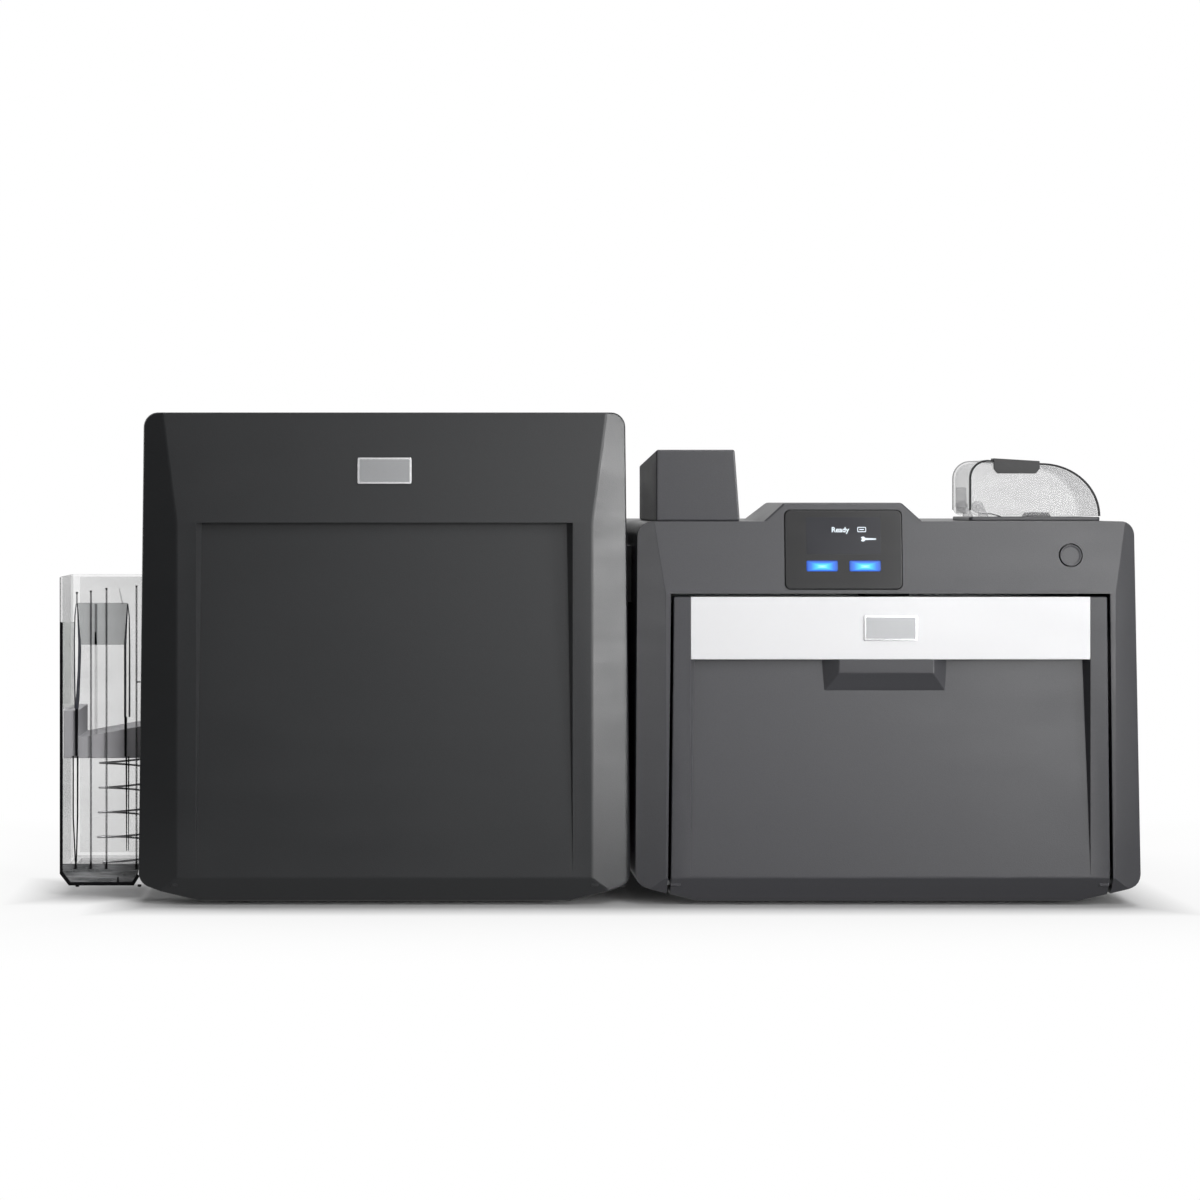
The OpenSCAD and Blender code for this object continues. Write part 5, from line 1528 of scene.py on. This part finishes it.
# %% Finishes of wall ends, ribs and the thick foot
def thick_foot():
    """The clear foot under the floor, full of flat streaks of the room round it."""
    material, tree, shader = new_material("clear_foot")
    streak = laid_on(tree, "ShaderNodeTexNoise", scale=(32, 32, 330), Scale=1.0,
                     Detail=3.0)["Fac"]
    mask = range_of(tree, streak, 0.36, 0.66, 0.0, 1.0)
    color = blend_colors(tree, mask, (0.07, 0.078, 0.082), (0.50, 0.505, 0.52))
    feed(tree, shader, Base_Color=color, Roughness=uneven(tree, mask, 0.10, 0.22),
         Alpha=0.8)
    return material


rib_faint = wall_end("clear_rib_faint", (0.26, 0.26, 0.27), (0.42, 0.42, 0.43), 0.20)
guide_clear = wall_end("clear_guide", (0.42, 0.42, 0.44), (0.55, 0.55, 0.57), 0.12)
plate_tint = wall_end("clear_flap", (0.44, 0.475, 0.475), (0.52, 0.55, 0.55), 0.42)
side_tint = wall_end("clear_side_tint", (0.52, 0.58, 0.52), (0.66, 0.70, 0.66), 0.22)
foot_clear = thick_foot()
platform_grey = moulded("platform_grey", (0.60, 0.59, 0.62), (0.72, 0.715, 0.73), 0.42)
print("hopper finishes:", edge_black.name, foot_clear.name, platform_grey.name)

# %% Output bin
BIN_WALL, BIN_FLOOR, SLOT_SILL = 2.0, 23.3, 223.0


def make_bin():
    x0, x1, y0, y1, z0, z1 = extents("hopper_bin")
    outline = [(x0, z1), (x0, z0 + 9), (x0 + 7, z0), (x1 - 7, z0), (x1, z0 + 9), (x1, z1)]
    whole = prism("output_bin", outline, "y", y0, y1, 0.6, 2, 20.0)
    cuts = [block("inside", (x0 + BIN_WALL, y0 + BIN_WALL, BIN_FLOOR),
                  (x1 - BIN_WALL, y1 - BIN_WALL, z1 + 1), 0.5),
            block("under", (x0 + 9, y0 + BIN_WALL, z0 - 1),
                  (x1 - 9, y1 - BIN_WALL, BIN_FLOOR - BIN_WALL)),
            block("slot", (x1 - BIN_WALL - 1, y0 + BIN_WALL, SLOT_SILL),
                  (x1 + 1, y1 - BIN_WALL, z1 + 1))]
    return carve(whole, cuts)


output_bin = make_bin()
finish_piece(output_bin, "output_hopper", clear, "hopper_bin", slot="clear_plastic",
             smooth=30.0)
print("bin:", len(output_bin.data.polygons), "faces")

# %% Strips along its front wall
INNER = bin_low[1] + BIN_WALL


def strip(points, widths, near=bin_low[1] - 0.05, far=INNER + 0.6):
    """A narrow strip along points of x and z; its width runs evenly from end to end."""
    count = len(points) - 1
    left, right = [], []
    for i, (x, z) in enumerate(points):
        half = (widths[0] + (widths[1] - widths[0]) * i / count) / 2
        left.append((x - half, z))
        right.append((x + half, z))
    return prism("strip", left + right[::-1], "y", near, far)


def gather(name, pieces):
    """Puts several small pieces into one mesh, without cutting them into each other."""
    bm = bmesh.new()
    for piece in pieces:
        bm.from_mesh(piece.data)
        bpy.data.objects.remove(piece)
    return mesh_of(bm, name)


def on_bin(name, pieces, material):
    finish_piece(gather(name, pieces), "output_hopper", material, slot="clear_plastic")


RIB_X = ((-386.3, 236.3), (-374.3, 238.3), (-351.2, 240.2))
rim_outer = [(-410.2, 212.0), (-410.2, 18.2), (-403.2, 9.25), (-353.2, 9.25), (-348.6, 16.5)]
rim_inner = [(-408.0, 212.0), (-408.0, 19.6), (-401.9, 11.8), (-354.6, 11.8), (-350.8, 17.9)]
dark = [prism("rim", rim_outer + rim_inner[::-1], "y", bin_low[1] - 0.06, INNER - 0.2)]
dark += [strip([(x, z), (x, z - 1.3)], (1.5, 1.3)) for x, z in RIB_X + ((-397.1, 235.2),)]
dark += [strip([(x, 27.5), (x, 21.9)], (1.2, 1.8)) for x, _ in RIB_X + ((-397.9, 0.0),)]
for points, widths in (
        ([(-397.3, 145.0), (-397.3, 109.0)], (2.3, 2.0)),
        ([(-359.5, 139.0), (-359.5, 108.5)], (2.0, 1.6)),
        ([(-382.7, 204.4), (-382.5, 194.6)], (0.8, 1.9)),
        ([(-365.4, 15.5), (-365.4, 11.3)], (0.9, 1.3)),
        ([(-399.9, 108.9), (-399.9, 62.0), (-398.3, 27.5)], (0.7, 0.8)),
        ([(-396.5, 108.9), (-396.6, 62.0), (-397.5, 27.5)], (1.1, 0.8)),
        ([(-359.0, 108.5), (-358.8, 36.0)], (1.1, 0.4)),
        ([(-357.2, 108.5), (-357.4, 36.0)], (0.8, 0.3))):
    dark.append(strip(points, widths))
on_bin("hopper_dark_edges", dark, edge_black)

# %% Flared ribs, straight ribs and the flap between them
# The outlines are x and z in millimetres, measured on the front wall.
flares = [[(-397.0, 226.5), (-396.4, 226.5), (-394.3, 198.0), (-393.9, 190.0),
           (-394.5, 172.0), (-395.2, 152.0), (-396.0, 145.0), (-398.4, 145.0),
           (-397.3, 160.0), (-396.4, 175.0), (-396.0, 195.0), (-396.6, 215.0)],
          [(-358.3, 226.0), (-357.8, 226.0), (-358.5, 210.0), (-359.1, 194.0),
           (-359.1, 139.0), (-360.7, 139.0), (-360.7, 194.0), (-359.5, 210.0)]]
flared = [prism("flare", outline, "y", bin_low[1] - 0.05, INNER + 0.6) for outline in flares]
flared += [strip([(-397.6, 226.0), (-398.6, 217.0), (-399.1, 198.0), (-398.9, 173.0),
                  (-398.5, 146.0)], (0.5, 0.9)),
           strip([(-357.8, 226.0), (-356.8, 216.0), (-356.5, 194.0), (-356.6, 139.0)],
                 (0.4, 1.2))]
flare_grey = wall_end("clear_rib_dark", (0.02, 0.022, 0.03), (0.09, 0.095, 0.115), 0.86)
on_bin("hopper_flared_ribs", flared, flare_grey)
straight = [strip([(x, z - 1.3), (x, 27.5)], (1.2, 1.3)) for x, z in RIB_X]
straight += [strip([(-397.1, 233.9), (-397.1, 226.0)], (0.9, 0.9)),
             strip([(-410.0, 246.4), (-410.0, 212.0)], (0.5, 0.5)),
             block("catch", (-351.2, INNER, 165.2), (-348.2, INNER + 0.6, 166.6))]
on_bin("hopper_ribs", straight, rib_grey)
faint = [strip([(-382.4, 226.0), (-382.4, 126.0)], (1.8, 2.0)),
         strip([(-364.5, 238.0), (-362.0, 226.0)], (0.8, 1.2)),
         block("sill", (-408.2, INNER, 145.0), (-398.6, INNER + 0.5, 146.4))]
on_bin("hopper_faint_ribs", faint, rib_faint)
guide = [block("guide", (-402.7, bin_high[1] - 2.6, 26), (-302.3, bin_high[1] - 2.05, 245),
               0.1),
         block("floor_sheet", (-405.0, bin_low[1] + 4, BIN_FLOOR + 0.05),
               (-302.3, bin_high[1] - 2.7, BIN_FLOOR + 0.45), 0.1)]
on_bin("hopper_guide", guide, guide_clear)
flap = prism("hopper_flap", [(-396.4, 226.8), (-358.0, 226.8), (-358.4, 214.0),
                             (-360.6, 194.4), (-394.2, 194.4), (-394.6, 204.0)],
             "y", INNER + 0.7, INNER + 1.5, 0.25)
finish_piece(flap, "output_hopper", plate_tint, slot="clear_plastic")
side_panel = block("hopper_side_panel", (-408.2, INNER + 0.1, 146.4),
                   (-399.4, INNER + 0.6, 212), 0.1)
finish_piece(side_panel, "output_hopper", side_tint, slot="clear_plastic")
foot_outline = [(-408.2, 25.6), (-408.2, 19.3), (-402.2, 11.6), (-354.3, 11.6),
                (-350.3, 17.7), (-349.0, 25.6)]
foot_piece = prism("hopper_foot", foot_outline, "y", INNER + 0.1, INNER + 1.2, 0.2)
finish_piece(foot_piece, "output_hopper", foot_clear, slot="clear_plastic")
nubs = [rod("nub", (x, INNER + 2, 7.7), (x, INNER + 2, 9.6), 1.5, 24, 0.4)
        for x in (-397.1, -349.2)]
on_bin("hopper_nubs", nubs, edge_black)
print("strips on the bin:", len(dark) + len(flared) + len(straight) + len(faint))

# %% [markdown]
# The spring is one wire, wound a little wider at the foot. A curve object with a bevel
# would draw it, but the part has to get shorter when the platform sinks, and that works
# on a mesh, so the tube is made ring by ring round the wire's path.

# %% Spring and platform
spring_low, spring_high = box_mm("hopper_spring")
WIRE, CURLS, FIRST_TURN = 1.6, 4.25, math.radians(-140)
SPRING_R = ((spring_high[0] - spring_low[0] - WIRE) / 2, 27.5)
SPRING_X = middle_of("hopper_bin")[0]


def wire_path(steps=34):
    """Middle of the wire: a straight foot, the curls and a straight top."""
    z0, z1 = spring_low[2], spring_high[2]
    rise = z1 - z0 - 2 * WIRE
    points = [(SPRING_R[0] * math.cos(FIRST_TURN), SPRING_R[0] * math.sin(FIRST_TURN), z0)]
    total = int(steps * CURLS)
    for i in range(total + 1):
        t = i / total
        r = SPRING_R[0] + (SPRING_R[1] - SPRING_R[0]) * t
        turn = FIRST_TURN + math.tau * CURLS * t
        points.append((r * math.cos(turn), r * math.sin(turn), z0 + WIRE + t * rise))
    points.append((points[-1][0], points[-1][1], z1))
    return [Vector(p) for p in points]


def make_spring(sides=10):
    path = wire_path()
    loops = []
    for i, point in enumerate(path):
        ends = i in (0, len(path) - 1)
        way = Vector((0, 0, 1)) if ends else (path[i + 1] - path[i - 1]).normalized()
        out = Vector((point.x, point.y, 0)).normalized()
        side = way.cross(out)
        loop = []
        for k in range(sides):
            a = math.tau * k / sides
            spot = point + WIRE / 2 * (out * math.cos(a) + side * math.sin(a))
            loop.append((spot + Vector((SPRING_X, CARD_Y, 0))) * MM)
        loops.append(loop)
    return skinned("hopper_wire", loops)


spring = make_spring()
finish_piece(spring, "output_hopper", spring_steel, "hopper_spring", slot="spring_steel",
             smooth=50.0)
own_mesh(spring)


def make_platform():
    x0, x1, y0, y1, z0, z1 = extents("hopper_platform")
    outline = [(x0, z0), (x1, z0), (x1, z1 - 4), (x0 + 11, z0 + 16), (x0 + 11, z1), (x0, z1)]
    whole = prism("platform", outline, "y", y0, y1, 0.7, 3, 12.0)
    under = block("under", (x0 + 13, y0 + 2.5, z0 - 1), (x1 - 3, y1 - 2.5, z0 + 2))
    grooves = [block("groove", (x0 + 2, y0 + 9 + 9.3 * i, z1 - 0.7),
                     (x0 + 9, y0 + 10.2 + 9.3 * i, z1 + 1)) for i in range(6)]
    return carve(whole, [under] + grooves)


platform = make_platform()
finish_piece(platform, "platform", platform_grey, "hopper_platform",
             slot="black_plastic", smooth=30.0)
print("spring and platform:", len(spring.data.polygons), len(platform.data.polygons))

# %% [markdown]
# ## Size of the shells
# The shells were redrawn, so the last step measures them: the box of everything that shows
# is printed beside the box of the imported model, and the two should agree closely.

# %% Boxes before and after
visual_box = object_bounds()
for name, box in (("packed", cad_box), ("visual", visual_box)):
    print(name, "box in mm:", [[round(v / MM, 1) for v in corner] for corner in box])
